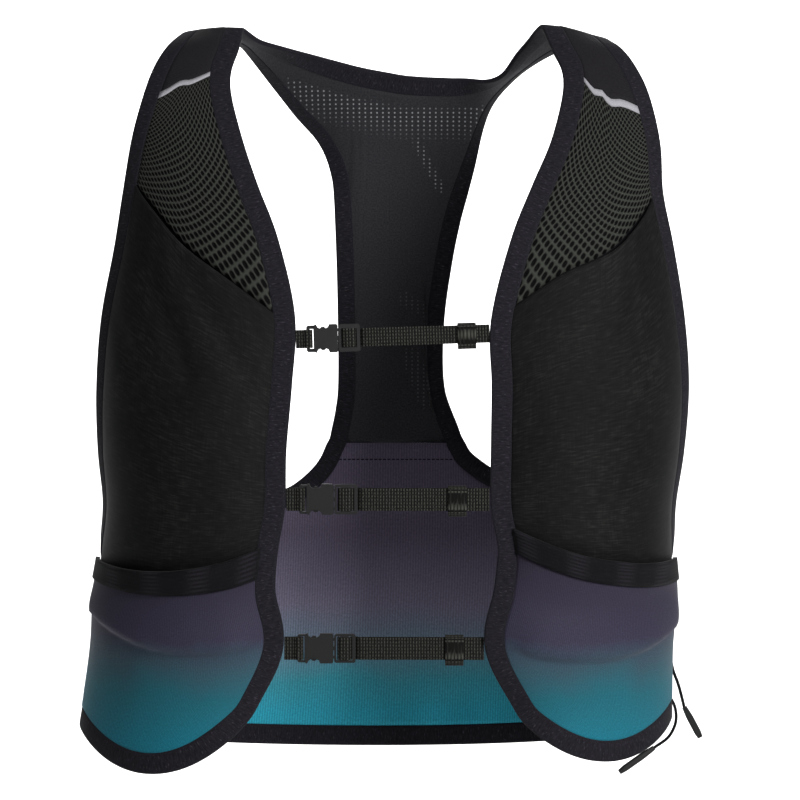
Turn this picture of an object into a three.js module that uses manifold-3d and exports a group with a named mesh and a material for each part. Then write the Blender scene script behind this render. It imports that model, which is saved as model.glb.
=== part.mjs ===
// Running hydration vest, held in the form it has on a body. Millimetres, +Z up, the front faces -Y.
// The origin lies midway between the two shoulder crests. Right (_r) is the wearer's right, at -X.
import * as THREE from "three";
import { mergeVertices } from "three/addons/utils/BufferGeometryUtils.js";
import Module from "manifold-3d";

const wasm = await Module();
wasm.setup();
const { Manifold } = wasm;

// Named sizes.
const VEST_HEIGHT = 500; // shoulder crest to the lowest hem
const HALF_WIDTH = 200; // vest centre to the side at the waist
const HALF_DEPTH = 110; // shoulder crest forward to the chest, and back to the spine
const LINING_CLOTH = 1.2;
const FRONT_CLOTH = 1.2; // cap, mesh and pockets
const YOKE_CLOTH = 2.4;
const BACK_CLOTH = 1.8;
const LAYER_GAP = 0.4; // between two cloths that lie on each other
const SEAM_GAP = 0.5; // between two pieces that meet edge to edge
const PIECE_INSET = 0.9; // how far the outer cloths of a front stop inside its edges
const EDGE_TAPE_WIDTH = 12.5;
const ARM_TAPE_WIDTH = 11;
const TAPE_GAP = 0.8; // between a tape and the edges it runs along
const TAPE_STAND = 0.6; // how far a tape stands proud of the cloth it binds
const TAPE_ROUND = 0.9; // the folded edge of a tape
const STRIP_WIDTH_ROWS = 0.17; // reflective strip, in rows of the front tables
const BOTTLE_PUFF = 14; // how far the bottle pocket stands off the lining
const BOTTLE_MOUTH_SHARE = 0.5; // the share of that puff at its mouth
const LOWER_PUFF = 8;
const BAND_STAND = 1.6; // elastic band over the pocket behind it
const RIDGE_HEIGHT = 5; // rolled fold across the lower pocket
const RIDGE_ROWS = 0.2;

const CORD_DIAMETER = 2.2;
const CORD_SIDES = 8;
const PULL_DIAMETER = 5;
const CORD_GAP = 0.2; // between a cord and the cloth it lies on

const DEG = Math.PI / 180;

// The tables hold shares of HALF_WIDTH (x), VEST_HEIGHT (drop) and HALF_DEPTH (y).
// A row per section of a front, from the shoulder crest (row 0) to the hem. ix, id, iy: the edge beside the
// neck and the chest opening. ox, od, oy: the edge beside the armhole, then the side seam. turn: how far the
// section turns towards the side, in degrees. sag: how far its middle hangs under the straight line.
const FRONT_COLUMNS = ["ix", "id", "iy", "ox", "od", "oy", "turn", "sag"];
const FRONT_R = [
  [0.574, 0.002, 0.045, 0.666, 0.004, 0.109, 20, 0],
  [0.585, 0.032, -0.145, 0.71, 0.03, -0.091, 25, 0],
  [0.607, 0.065, -0.273, 0.749, 0.061, -0.218, 32, 0],
  [0.603, 0.106, -0.409, 0.78, 0.102, -0.345, 40, 0],
  [0.556, 0.176, -0.582, 0.82, 0.163, -0.436, 48, 0],
  [0.499, 0.241, -0.718, 0.851, 0.235, -0.491, 54, 0],
  [0.434, 0.308, -0.818, 0.884, 0.311, -0.491, 58, 0],
  [0.379, 0.405, -0.9, 0.933, 0.405, -0.445, 60, 0],
  [0.388, 0.491, -0.955, 0.957, 0.499, -0.382, 62, 0],
  [0.406, 0.577, -0.982, 0.962, 0.581, -0.3, 66, 0.003],
  [0.41, 0.649, -0.982, 0.954, 0.655, -0.218, 70, 0.01],
  [0.433, 0.704, -0.964, 0.985, 0.728, 0.0, 78, 0.018],
  [0.443, 0.763, -0.936, 1.006, 0.776, 0.0, 80, 0.024],
  [0.418, 0.832, -0.9, 1.016, 0.849, 0.0, 80, 0.034],
  [0.509, 0.911, -0.836, 1.044, 0.933, 0.0, 80, 0.058],
];
const FRONT_L = [
  [0.578, 0.0, 0.045, 0.69, 0.011, 0.109, 20, 0],
  [0.616, 0.036, -0.145, 0.734, 0.034, -0.091, 25, 0],
  [0.643, 0.065, -0.273, 0.777, 0.063, -0.218, 32, 0],
  [0.641, 0.106, -0.409, 0.816, 0.104, -0.345, 40, 0],
  [0.595, 0.176, -0.582, 0.852, 0.168, -0.436, 48, 0],
  [0.525, 0.241, -0.718, 0.863, 0.235, -0.491, 54, 0],
  [0.456, 0.31, -0.818, 0.903, 0.311, -0.491, 58, 0],
  [0.392, 0.411, -0.9, 0.945, 0.407, -0.445, 60, 0],
  [0.394, 0.492, -0.955, 0.966, 0.496, -0.382, 62, 0],
  [0.391, 0.577, -0.982, 0.96, 0.58, -0.3, 66, 0.003],
  [0.391, 0.651, -0.982, 0.94, 0.657, -0.218, 70, 0.008],
  [0.414, 0.704, -0.964, 0.951, 0.728, 0.0, 78, 0.012],
  [0.401, 0.763, -0.936, 0.962, 0.776, 0.0, 80, 0.022],
  [0.373, 0.832, -0.9, 0.948, 0.849, 0.0, 80, 0.032],
  [0.476, 0.914, -0.836, 0.945, 0.921, 0.0, 80, 0.046],
];
const SEAM_ROW = 11; // the armhole ends here and the side seam begins
const HEM_ROW = 14;

// Lines across a front: a row per point, with the share of the way across and the front row it lies on.
const LINE_COLUMNS = ["across", "row"];
const LINES_R = {
  strip: [[0, 2.25], [0.5, 2.75], [1, 3.05]],
  mouth: [[0, 6.95], [0.25, 6.5], [0.53, 6.0], [0.78, 5.33], [1, 4.85]],
  bandTop: [[0, 11.0], [0.5, 11.05], [1, 11.02]],
  bandFoot: [[0, 11.7], [0.5, 11.57], [1, 11.6]],
  ridge: [[0, 12.8], [0.3, 12.62], [0.5, 12.5], [0.84, 12.27], [1, 12.2]],
};
const LINES_L = {
  strip: [[0, 2.45], [0.5, 3.0], [1, 3.35]],
  mouth: [[0, 6.8], [0.25, 6.42], [0.58, 6.08], [0.8, 5.6], [1, 5.1]],
  bandTop: [[0, 10.5], [0.3, 10.8], [0.55, 10.88], [1, 11.02]],
  bandFoot: [[0, 11.1], [0.3, 11.3], [0.53, 11.4], [1, 11.65]],
  ridge: [[0, 12.9], [0.36, 12.7], [0.67, 12.59], [0.82, 12.51], [1, 12.38]],
};
const BOTTLE_FOOT_ROW = 12.1; // hidden inside the lower pocket

// Soft folds of the bottle pockets: from and to (x, drop), half width and depth in mm.
const FOLD_COLUMNS = ["x1", "d1", "x2", "d2", "half", "deep"];
const FOLDS_R = [
  [0.78, 0.34, 0.64, 0.48, 7, 2.6],
  [0.67, 0.34, 0.47, 0.48, 7, 2.2],
  [0.92, 0.39, 0.8, 0.48, 6, 1.8],
];
const FOLDS_L = [
  [0.87, 0.26, 0.76, 0.4, 6, 1.8],
  [0.46, 0.65, 0.44, 0.69, 6, 1.6],
];

// The yoke: u runs from the right shoulder (0) to the left one (1). NECK is its edge beside the neck, ARM its
// edge down the right side of the spine, across the spine's foot and up its left side.
const YOKE_COLUMNS = ["u", "x", "drop", "y"];
const NECK = [
  [0, -0.574, 0.002, 0.045],
  [0.06, -0.504, 0.013, 0.255],
  [0.14, -0.365, 0.036, 0.427],
  [0.2, -0.26, 0.05, 0.51],
  [0.26, -0.15, 0.062, 0.572],
  [0.32, -0.09, 0.067, 0.594],
  [0.41, -0.03, 0.071, 0.61],
  [0.5, 0.03, 0.075, 0.62],
  [0.59, 0.09, 0.077, 0.625],
  [0.68, 0.15, 0.078, 0.626],
  [0.75, 0.24, 0.078, 0.62],
  [0.81, 0.34, 0.071, 0.585],
  [0.87, 0.425, 0.052, 0.51],
  [0.91, 0.472, 0.032, 0.42],
  [0.96, 0.536, 0.012, 0.273],
  [1, 0.578, 0.0, 0.045],
];
const ARM = [
  [0, -0.666, 0.004, 0.109],
  [0.05, -0.532, 0.01, 0.364],
  [0.09, -0.469, 0.029, 0.5],
  [0.14, -0.384, 0.064, 0.655],
  [0.18, -0.307, 0.098, 0.764],
  [0.22, -0.233, 0.128, 0.836],
  [0.25, -0.183, 0.163, 0.882],
  [0.28, -0.155, 0.205, 0.918],
  [0.31, -0.144, 0.288, 0.945],
  [0.345, -0.137, 0.4, 0.955],
  [0.38, -0.137, 0.5, 0.955],
  [0.41, -0.166, 0.574, 0.955],
  [0.59, 0.196, 0.574, 0.955],
  [0.62, 0.134, 0.5, 0.955],
  [0.655, 0.131, 0.4, 0.955],
  [0.69, 0.163, 0.305, 0.95],
  [0.72, 0.196, 0.243, 0.935],
  [0.76, 0.261, 0.167, 0.9],
  [0.8, 0.328, 0.098, 0.818],
  [0.84, 0.395, 0.065, 0.736],
  [0.88, 0.474, 0.04, 0.618],
  [0.92, 0.542, 0.023, 0.491],
  [0.96, 0.619, 0.01, 0.364],
  [1, 0.69, 0.011, 0.109],
];
const SPINE_R = 0.41; // u of the spine's foot, right and left
const SPINE_L = 0.59;
// How far back the middle of the yoke lies at each drop.
const SPINE_COLUMNS = ["drop", "y"];
const SPINE = [
  [-0.01, 0.36],
  [0.03, 0.5],
  [0.07, 0.615],
  [0.11, 0.735],
  [0.16, 0.85],
  [0.22, 0.915],
  [0.3, 0.945],
  [0.42, 0.955],
  [0.58, 0.955],
];
const SPINE_FLARE = 8; // how late its columns turn out to the flared foot

// The back panel's top edge, from the right side seam round to the left one.
const BACK_COLUMNS = ["x", "drop"];
const BACK_TOP = [
  [-0.985, 0.728],
  [-0.947, 0.722],
  [-0.834, 0.71],
  [-0.586, 0.688],
  [-0.402, 0.668],
  [-0.331, 0.656],
  [-0.256, 0.632],
  [-0.206, 0.607],
  [-0.166, 0.574],
  [0.196, 0.574],
  [0.232, 0.599],
  [0.286, 0.618],
  [0.351, 0.635],
  [0.552, 0.67],
  [0.8, 0.705],
  [0.9125, 0.722],
  [0.951, 0.728],
];
const BACK_DEPTH = 0.955; // at the top of the panel, a share of HALF_DEPTH
const BACK_HEM_DEPTH = 0.93;
const BACK_HEM_DROP = 0.985;
const BACK_SQUARE = 0.8; // under 1 squares the back's section off
const SEAM_REACH = 0.125; // share of the way round over which its top edge leaves the side seam

const mix = (a, b, t) => a + (b - a) * t;
const clamp = (t, lo, hi) => Math.min(hi, Math.max(lo, t));
const smooth = (t) => {
  const c = clamp(t, 0, 1);
  return c * c * (3 - 2 * c);
};
const hermite = (a, b, ta, tb, t) =>
  (2 * t ** 3 - 3 * t ** 2 + 1) * a + (t ** 3 - 2 * t ** 2 + t) * ta +
  (3 * t ** 2 - 2 * t ** 3) * b + (t ** 3 - t ** 2) * tb;

// A smooth reading of one column of a table at x, where the knots are xs.
function read(xs, ys, x) {
  const last = xs.length - 1;
  let k = 0;
  while (k < last - 1 && x > xs[k + 1]) k++;
  const slope = (i) => {
    if (i === 0) return (ys[1] - ys[0]) / (xs[1] - xs[0]);
    if (i === last) return (ys[last] - ys[last - 1]) / (xs[last] - xs[last - 1]);
    return (ys[i + 1] - ys[i - 1]) / (xs[i + 1] - xs[i - 1]);
  };
  const span = xs[k + 1] - xs[k];
  return hermite(ys[k], ys[k + 1], slope(k) * span, slope(k + 1) * span, (x - xs[k]) / span);
}

const column = (table, columns, name) => table.map((row) => row[columns.indexOf(name)]);
const tableOf = (table, columns, key) => {
  const xs = key ? column(table, columns, key) : table.map((_, i) => i);
  const ys = Object.fromEntries(columns.map((name) => [name, column(table, columns, name)]));
  return (name, x) => read(xs, ys[name], x);
};

const add = (p, v, d) => p.clone().addScaledVector(v, d);

const NEAR = 1e-3; // half the step in a patch's parameters over which its slope is read
// The surface normal of a patch by differences, on the side where a x b points.
function normalOf(point, a, b, turn) {
  const da = point(a + NEAR, b).sub(point(a - NEAR, b));
  const db = point(a, b + NEAR).sub(point(a, b - NEAR));
  return da.cross(db).multiplyScalar(turn).normalize();
}

// The change in a patch's parameter that moves a point by a length, taken beside an edge.
const TINY = 1e-4;
const shareOf = (length, a, b) => (length * TINY) / a.distanceTo(b);

const steps = (from, to, n) => Array.from({ length: n + 1 }, (_, i) => mix(from, to, i / n));

// The three cloth surfaces, a front, the yoke and the back panel: each gives a point and a normal for two
// parameters.
function frontOf(side, table) {
  const upper = tableOf(table.slice(0, SEAM_ROW + 1), FRONT_COLUMNS);
  const seam = tableOf(table.slice(SEAM_ROW), FRONT_COLUMNS);
  const whole = tableOf(table, FRONT_COLUMNS);
  const outer = (name, s) => (s <= SEAM_ROW ? upper(name, s) : seam(name, s - SEAM_ROW));
  const point = (s, across) => {
    const turn = whole("turn", s) * DEG;
    const angle = Math.asin(clamp(across * Math.sin(turn), -1, 1));
    const back = (1 - Math.cos(angle)) / (1 - Math.cos(turn));
    const sag = whole("sag", s) * 4 * across * (1 - across);
    return new THREE.Vector3(
      side * HALF_WIDTH * mix(whole("ix", s), outer("ox", s), across),
      HALF_DEPTH * mix(whole("iy", s), outer("oy", s), back),
      -VEST_HEIGHT * (mix(whole("id", s), outer("od", s), across) + sag),
    );
  };
  return { side, point, normal: (s, a) => normalOf(point, s, a, side) };
}

const FRONTS = {
  r: { ...frontOf(-1, FRONT_R), lines: LINES_R, folds: FOLDS_R },
  l: { ...frontOf(1, FRONT_L), lines: LINES_L, folds: FOLDS_L },
};
for (const front of Object.values(FRONTS)) {
  front.line = (name, across) => tableOf(front.lines[name], LINE_COLUMNS, "across")("row", across);
}

const spineAt = tableOf(SPINE, SPINE_COLUMNS, "drop");
const neckAt = tableOf(NECK, YOKE_COLUMNS, "u");
const armR = tableOf(ARM.filter((row) => row[0] <= SPINE_R), YOKE_COLUMNS, "u");
const armL = tableOf(ARM.filter((row) => row[0] >= SPINE_L), YOKE_COLUMNS, "u");
function armAt(name, u) {
  if (u <= SPINE_R) return armR(name, u);
  if (u >= SPINE_L) return armL(name, u);
  return mix(armR(name, SPINE_R), armL(name, SPINE_L), (u - SPINE_R) / (SPINE_L - SPINE_R));
}
const FLARE_REACH = 0.03; // in u, over which the columns straighten beside the spine
const yoke = {
  point: (u, v) => {
    const beside = Math.max(SPINE_R - u, u - SPINE_L, 0) / FLARE_REACH;
    const late = mix(SPINE_FLARE, 1, smooth(beside));
    const drop = mix(neckAt("drop", u), armAt("drop", u), v);
    const fromNeck = neckAt("y", u) - spineAt("y", neckAt("drop", u));
    const fromArm = armAt("y", u) - spineAt("y", armAt("drop", u));
    return new THREE.Vector3(
      HALF_WIDTH * mix(neckAt("x", u), armAt("x", u), Math.max(v, 0) ** late),
      HALF_DEPTH * (spineAt("y", drop) + mix(fromNeck, fromArm, v)),
      -VEST_HEIGHT * drop,
    );
  },
};
const inside = (t) => clamp(t, 2 * NEAR, 1 - 2 * NEAR);
yoke.normal = (u, v) => normalOf(yoke.point, inside(u), inside(v), 1);

const backTop = tableOf(BACK_TOP, BACK_COLUMNS, "x");
const FOOT_R = armAt("x", SPINE_R); // x of the spine's foot, right and left
const FOOT_L = armAt("x", SPINE_L);
const backTopDrop = (x) => (x > FOOT_R && x < FOOT_L ? armAt("drop", SPINE_R) : backTop("drop", x));
// u runs round the back from the right side seam (0) to the left one (1).
const SIDE_R = FRONTS.r.point(SEAM_ROW, 1).x;
const SIDE_L = FRONTS.l.point(SEAM_ROW, 1).x;
const roundAt = (x) => Math.acos(1 - (2 * (x * HALF_WIDTH - SIDE_R)) / (SIDE_L - SIDE_R)) / Math.PI;
const BACK_SPINE_R = roundAt(FOOT_R);
const BACK_SPINE_L = roundAt(FOOT_L);
const back = {
  point: (u, v) => {
    const row = mix(SEAM_ROW, HEM_ROW, v);
    const right = FRONTS.r.point(row, 1);
    const left = FRONTS.l.point(row, 1);
    const round = Math.PI * u;
    const share = (1 - Math.cos(round)) / 2;
    const out = Math.max(Math.sin(round), 0) ** BACK_SQUARE;
    const seamTop = -mix(FRONTS.r.point(SEAM_ROW, 1).z, FRONTS.l.point(SEAM_ROW, 1).z, share);
    const seamHem = -mix(FRONTS.r.point(HEM_ROW, 1).z, FRONTS.l.point(HEM_ROW, 1).z, share);
    const topDrop = backTopDrop(mix(SIDE_R, SIDE_L, share) / HALF_WIDTH);
    const top = mix(seamTop, VEST_HEIGHT * topDrop, smooth(Math.min(u, 1 - u) / SEAM_REACH));
    const hem = mix(seamHem, VEST_HEIGHT * BACK_HEM_DROP, out);
    return new THREE.Vector3(
      mix(right.x, left.x, share),
      mix(right.y, left.y, share) + HALF_DEPTH * mix(BACK_DEPTH, BACK_HEM_DEPTH, v) * out,
      -mix(top, hem, v),
    );
  },
};
back.normal = (u, v) => normalOf(back.point, inside(u), v, 1);

function meshFrom(positions, faces) {
  const geometry = new THREE.BufferGeometry();
  const numbers = positions.flatMap((p) => [p.x, p.y, p.z]);
  geometry.setAttribute("position", new THREE.Float32BufferAttribute(numbers, 3));
  geometry.setIndex(faces.flat());
  geometry.computeVertexNormals();
  return geometry;
}

// A closed sheet: rows x columns of {p, n, lo, hi}, the cloth filling lo to hi along n.
function sheet(grid, facing) {
  const rows = grid.length;
  const cols = grid[0].length;
  const low = grid.flat().map((c) => add(c.p, c.n, c.lo));
  const high = grid.flat().map((c) => add(c.p, c.n, c.hi));
  const top = rows * cols;
  const faces = [];
  const quad = (a, b, c, d) => {
    if (facing > 0) faces.push([a, b, c], [a, c, d]);
    else faces.push([a, c, b], [a, d, c]);
  };
  for (let i = 0; i + 1 < rows; i++) {
    for (let j = 0; j + 1 < cols; j++) {
      const k = i * cols + j;
      quad(top + k, top + k + cols, top + k + cols + 1, top + k + 1);
      quad(k, k + 1, k + cols + 1, k + cols);
    }
  }
  const rim = [];
  for (let j = 0; j < cols - 1; j++) rim.push(j);
  for (let i = 0; i < rows - 1; i++) rim.push(i * cols + cols - 1);
  for (let j = cols - 1; j > 0; j--) rim.push((rows - 1) * cols + j);
  for (let i = rows - 1; i > 0; i--) rim.push(i * cols);
  rim.forEach((a, k) => {
    const b = rim[(k + 1) % rim.length];
    quad(a, top + a, top + b, b);
  });
  return meshFrom([...low, ...high], faces);
}

// A solid swept along rings of the same number of points: closed into a loop, or capped at both ends.
function swept(rings, looped) {
  const n = rings[0].length;
  const faces = [];
  const count = rings.length;
  for (let i = 0; i < (looped ? count : count - 1); i++) {
    for (let j = 0; j < n; j++) {
      const a = i * n + j;
      const b = i * n + ((j + 1) % n);
      const c = ((i + 1) % count) * n + ((j + 1) % n);
      const d = ((i + 1) % count) * n + j;
      faces.push([a, b, c], [a, c, d]);
    }
  }
  if (!looped) {
    for (let j = 1; j + 1 < n; j++) {
      faces.push([0, j + 1, j]);
      const end = (count - 1) * n;
      faces.push([end, end + j, end + j + 1]);
    }
  }
  return meshFrom(rings.flat(), faces);
}

function volumeOf(geometry) {
  const p = geometry.getAttribute("position");
  const index = geometry.getIndex();
  const corner = (i) => new THREE.Vector3().fromBufferAttribute(p, index.getX(i));
  let six = 0;
  for (let i = 0; i < index.count; i += 3) six += corner(i).dot(corner(i + 1).cross(corner(i + 2)));
  return six / 6;
}

function facingOut(geometry) {
  if (volumeOf(geometry) < 0) {
    const index = geometry.getIndex();
    for (let i = 0; i < index.count; i += 3) {
      const b = index.getX(i + 1);
      index.setX(i + 1, index.getX(i + 2));
      index.setX(i + 2, b);
    }
  }
  return geometry;
}

const vest = new THREE.Group();
vest.name = "running_hydration_vest";
function put(name, geometry, { color, roughness }) {
  const mesh = new THREE.Mesh(geometry, new THREE.MeshStandardMaterial({ color, roughness, metalness: 0 }));
  mesh.name = name;
  vest.add(mesh);
}

const LOOKS = {
  lining: { color: 0x2a2a2d, roughness: 0.85 },
  cap: { color: 0x28272a, roughness: 0.75 },
  strip: { color: 0xd8d7db, roughness: 0.35 },
  net: { color: 0x2c2e2c, roughness: 0.8 },
  bottle: { color: 0x202020, roughness: 0.7 },
  lower: { color: 0x2b7189, roughness: 0.65 },
  back: { color: 0x3a6478, roughness: 0.7 },
  band: { color: 0x24232a, roughness: 0.8 },
  tape: { color: 0x302d36, roughness: 0.8 },
  yoke: { color: 0x2a2a2c, roughness: 0.85 },
  webbing: { color: 0x33332f, roughness: 0.85 },
  buckle: { color: 0x2c2c2c, roughness: 0.45 },
  cord: { color: 0x222224, roughness: 0.7 },
};

// The fronts.
const SPREAD = 62 * DEG; // columns lie closer where a front turns to the side
const spread = (t) => Math.sin(t * SPREAD) / Math.sin(SPREAD);
const LINING_SEAM_ROW = 9.6; // the lining is two cloths that meet here, under the bottle pocket
const LINING_ROWS = [
  ...steps(0, 4, 7), ...steps(4.7, 9, 6), LINING_SEAM_ROW, 10.1, 10.45, 10.75, SEAM_ROW,
  11.6, 12.3, 12.8, 13.2, 13.5, 13.75, HEM_ROW,
];
const LINING_COLUMNS = steps(0, 1, 7).map(spread);
const BOTTLE_BASE = LINING_CLOTH + LAYER_GAP;
const LOWER_BASE = BOTTLE_BASE + FRONT_CLOTH + LAYER_GAP;

const besideEdges = (across, power) => Math.sin(Math.PI * clamp(across, 0, 1)) ** power;

function foldDepth(front, p) {
  const x = Math.abs(p.x);
  const z = -p.z;
  return front.folds.reduce((sum, row) => {
    const f = Object.fromEntries(FOLD_COLUMNS.map((name, i) => [name, row[i]]));
    const ax = f.x1 * HALF_WIDTH;
    const az = f.d1 * VEST_HEIGHT;
    const bx = f.x2 * HALF_WIDTH;
    const bz = f.d2 * VEST_HEIGHT;
    const t = clamp(((x - ax) * (bx - ax) + (z - az) * (bz - az)) / ((bx - ax) ** 2 + (bz - az) ** 2), 0, 1);
    const away = Math.hypot(x - mix(ax, bx, t), z - mix(az, bz, t));
    return sum + f.deep * Math.exp(-((away / f.half) ** 2));
  }, 0);
}

const BOTTLE_EDGE = 0.8; // powers of the sine that rounds a pocket off towards its sides
const LOWER_EDGE = 0.7;
const RISE_ROWS = 2.6; // from the mouth to the fullest part of the bottle pocket
const SETTLE_ROW = 10.4; // where it begins to narrow to its foot
function bottleLift(front, s, across) {
  const mouth = front.line("mouth", across);
  const rise = mix(BOTTLE_MOUTH_SHARE, 1, smooth((s - mouth) / RISE_ROWS));
  const fall = 1 - smooth((s - SETTLE_ROW) / (BOTTLE_FOOT_ROW - SETTLE_ROW));
  const full = BOTTLE_PUFF * besideEdges(across, BOTTLE_EDGE) * rise * fall;
  return Math.max(full - foldDepth(front, front.point(s, across)) * Math.min(full / BOTTLE_PUFF, 1), 0);
}

const LOWER_FULL_ROW = 12.2;
const SWELL_LEAD = 1.6; // rows above the band where the lower pocket begins to stand off
function lowerLift(front, s, across) {
  const above = s - front.line("bandTop", across) + SWELL_LEAD;
  const swell = smooth(above / (LOWER_FULL_ROW - SEAM_ROW + SWELL_LEAD)) *
    (1 - smooth((s - LOWER_FULL_ROW) / (HEM_ROW - LOWER_FULL_ROW)) ** 2);
  const ridge = RIDGE_HEIGHT * Math.exp(-(((s - front.line("ridge", across)) / RIDGE_ROWS) ** 2));
  const edges = besideEdges(across, LOWER_EDGE);
  return bottleLift(front, s, across) + edges * (LOWER_PUFF * swell + ridge);
}

// A piece of a front between two lines across it, held in a little from its edges.
function frontPiece(front, top, foot, [rows, cols], base, lift, cloth) {
  const grid = steps(0, 1, rows).map((t) =>
    steps(0, 1, cols).map((c) => {
      const share = spread(c);
      const s = mix(top(share), foot(share), t);
      const inner = shareOf(PIECE_INSET, front.point(s, 0), front.point(s, TINY));
      const outer = shareOf(PIECE_INSET, front.point(s, 1), front.point(s, 1 - TINY));
      const across = mix(inner, 1 - outer, share);
      const lo = base + lift(front, s, across);
      return { p: front.point(s, across), n: front.normal(s, across), lo, hi: lo + cloth };
    }),
  );
  return facingOut(sheet(grid, 1));
}

const STRIP_HALF = STRIP_WIDTH_ROWS / 2;
const flat = () => 0;
const PANEL_CELLS = [7, 6]; // rows and columns of cells in each piece
const STRIP_CELLS = [1, 6];
const BOTTLE_CELLS = [11, 9];
const BAND_CELLS = [2, 9];
const LOWER_CELLS = [10, 9];
const ROW_GAP = 0.02; // in rows, between two pieces of a front that meet across it
for (const [name, front] of Object.entries(FRONTS)) {
  const line = (key, shift = 0) => (across) => front.line(key, across) + shift;
  const row = (s) => () => s;

  const liningGrid = (from, to) => LINING_ROWS.filter((s) => s >= from && s <= to).map((s) =>
    LINING_COLUMNS.map((across, j) => {
      const ss = s === from ? s + ROW_GAP : s;
      const beside = j === LINING_COLUMNS.length - 1 && s > SEAM_ROW;
      const inset = beside ? shareOf(SEAM_GAP, front.point(ss, 1), front.point(ss, 1 - TINY)) : 0;
      const at = across - inset;
      return { p: front.point(ss, at), n: front.normal(ss, at), lo: 0, hi: LINING_CLOTH };
    }),
  );
  put("chest_lining_" + name, facingOut(sheet(liningGrid(0, LINING_SEAM_ROW), 1)), LOOKS.lining);
  put("waist_lining_" + name, facingOut(sheet(liningGrid(LINING_SEAM_ROW, HEM_ROW), 1)), LOOKS.lining);
  put("shoulder_cap_" + name,
    frontPiece(front, row(ROW_GAP), line("strip", -STRIP_HALF - ROW_GAP), PANEL_CELLS, BOTTLE_BASE, flat,
      FRONT_CLOTH),
    LOOKS.cap);
  put("reflective_strip_" + name,
    frontPiece(front, line("strip", -STRIP_HALF), line("strip", STRIP_HALF), STRIP_CELLS, BOTTLE_BASE, flat,
      FRONT_CLOTH),
    LOOKS.strip);
  put("mesh_panel_" + name,
    frontPiece(front, line("strip", STRIP_HALF + ROW_GAP), line("mouth", -ROW_GAP), PANEL_CELLS, BOTTLE_BASE,
      flat, FRONT_CLOTH),
    LOOKS.net);
  put("bottle_pocket_" + name,
    frontPiece(front, line("mouth"), row(BOTTLE_FOOT_ROW), BOTTLE_CELLS, BOTTLE_BASE, bottleLift,
      FRONT_CLOTH),
    LOOKS.bottle);
  put("pocket_band_" + name,
    frontPiece(front, line("bandTop"), line("bandFoot", -ROW_GAP), BAND_CELLS, LOWER_BASE,
      lowerLift, FRONT_CLOTH + BAND_STAND),
    LOOKS.band);
  put("lower_pocket_" + name,
    frontPiece(front, line("bandFoot"), row(HEM_ROW - ROW_GAP), LOWER_CELLS, LOWER_BASE, lowerLift,
      FRONT_CLOTH),
    LOOKS.lower);
}

// The back.
const YOKE_COLUMN_PLACES = [
  0, 0.03, 0.06, 0.09, 0.115, 0.14, 0.16, 0.18, 0.2, 0.22, 0.24, 0.26, 0.28, 0.31, 0.345, 0.38, 0.396,
  SPINE_R, 0.44, 0.47, 0.5, 0.53, 0.56, SPINE_L, 0.62, 0.655, 0.69, 0.72, 0.74, 0.76, 0.78, 0.8, 0.82, 0.84,
  0.86, 0.88, 0.92, 0.96, 1,
];
const YOKE_ROW_PLACES = [0, 0.07, 0.15, 0.25, 0.37, 0.52, 0.68, 0.84, 1];
const CREST_INSET = 0.001; // in u, beside the shoulder crests
const SPINE_INSET = 0.0015; // in v, above the seam at the spine's foot
const yokeGrid = YOKE_COLUMN_PLACES.map((u) =>
  YOKE_ROW_PLACES.map((v) => {
    const uu = clamp(u, CREST_INSET, 1 - CREST_INSET);
    const inset = u >= SPINE_R && u <= SPINE_L ? SPINE_INSET : 0;
    const vv = v === 1 ? 1 - inset : v;
    return { p: yoke.point(uu, vv), n: yoke.normal(uu, vv), lo: 0, hi: YOKE_CLOTH };
  }),
);
put("back_yoke", facingOut(sheet(yokeGrid, 1)), LOOKS.yoke);

const BACK_COLUMN_PLACES = [
  ...steps(0, roundAt(-0.402), 9),
  ...[-0.331, -0.29, -0.256, -0.228, -0.206, -0.186].map(roundAt),
  ...steps(BACK_SPINE_R, BACK_SPINE_L, 4),
  ...[0.213, 0.232, 0.256, 0.286, 0.351].map(roundAt),
  ...steps(roundAt(0.42), 1, 9),
];
const BACK_ROW_PLACES = steps(0, 1, 4);
const SIDE_INSET = shareOf(SEAM_GAP, back.point(0, 0.5), back.point(TINY, 0.5)); // in u
const BACK_TOP_INSET = 0.002; // in v, under the seam at the spine's foot
const backGrid = BACK_COLUMN_PLACES.map((u) =>
  BACK_ROW_PLACES.map((v) => {
    const uu = clamp(u, SIDE_INSET, 1 - SIDE_INSET);
    const vv = v === 0 && u >= BACK_SPINE_R && u <= BACK_SPINE_L ? BACK_TOP_INSET : v;
    return { p: back.point(uu, vv), n: back.normal(uu, vv), lo: 0, hi: BACK_CLOTH };
  }),
);
put("back_lower_panel", facingOut(sheet(backGrid, 1)), LOOKS.back);

// Binding tapes: each is a flat tape butted against the edges of the cloths, outside them.
const FRONT_STACK = BOTTLE_BASE + FRONT_CLOTH; // lining and one cloth
const LOWER_STACK = LOWER_BASE + FRONT_CLOTH; // lining, bottle pocket and lower pocket
const STACK_ROWS = 1; // the tape thickens over this many rows on each side of the band
const frontStack = (s) =>
  mix(FRONT_STACK, LOWER_STACK, smooth((s - SEAM_ROW + STACK_ROWS) / (2 * STACK_ROWS)));
const frontSample = (front, s, across) => ({
  p: front.point(s, across), n: front.normal(Math.min(s, HEM_ROW - NEAR), across), stack: frontStack(s),
});
const yokeSample = (u, v) => ({ p: yoke.point(u, v), n: yoke.normal(u, v), stack: YOKE_CLOTH });
const backSample = (u, v) => ({ p: back.point(u, v), n: back.normal(u, v), stack: BACK_CLOTH });

function averaged(list, key, passes) {
  let values = list.map((c) => c[key].clone());
  for (let k = 0; k < passes; k++) {
    values = values.map((v, i) => {
      const beside = values.at(i - 1).clone().add(values[(i + 1) % values.length]).divideScalar(2);
      return beside.add(v).divideScalar(2);
    });
  }
  return values;
}

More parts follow.
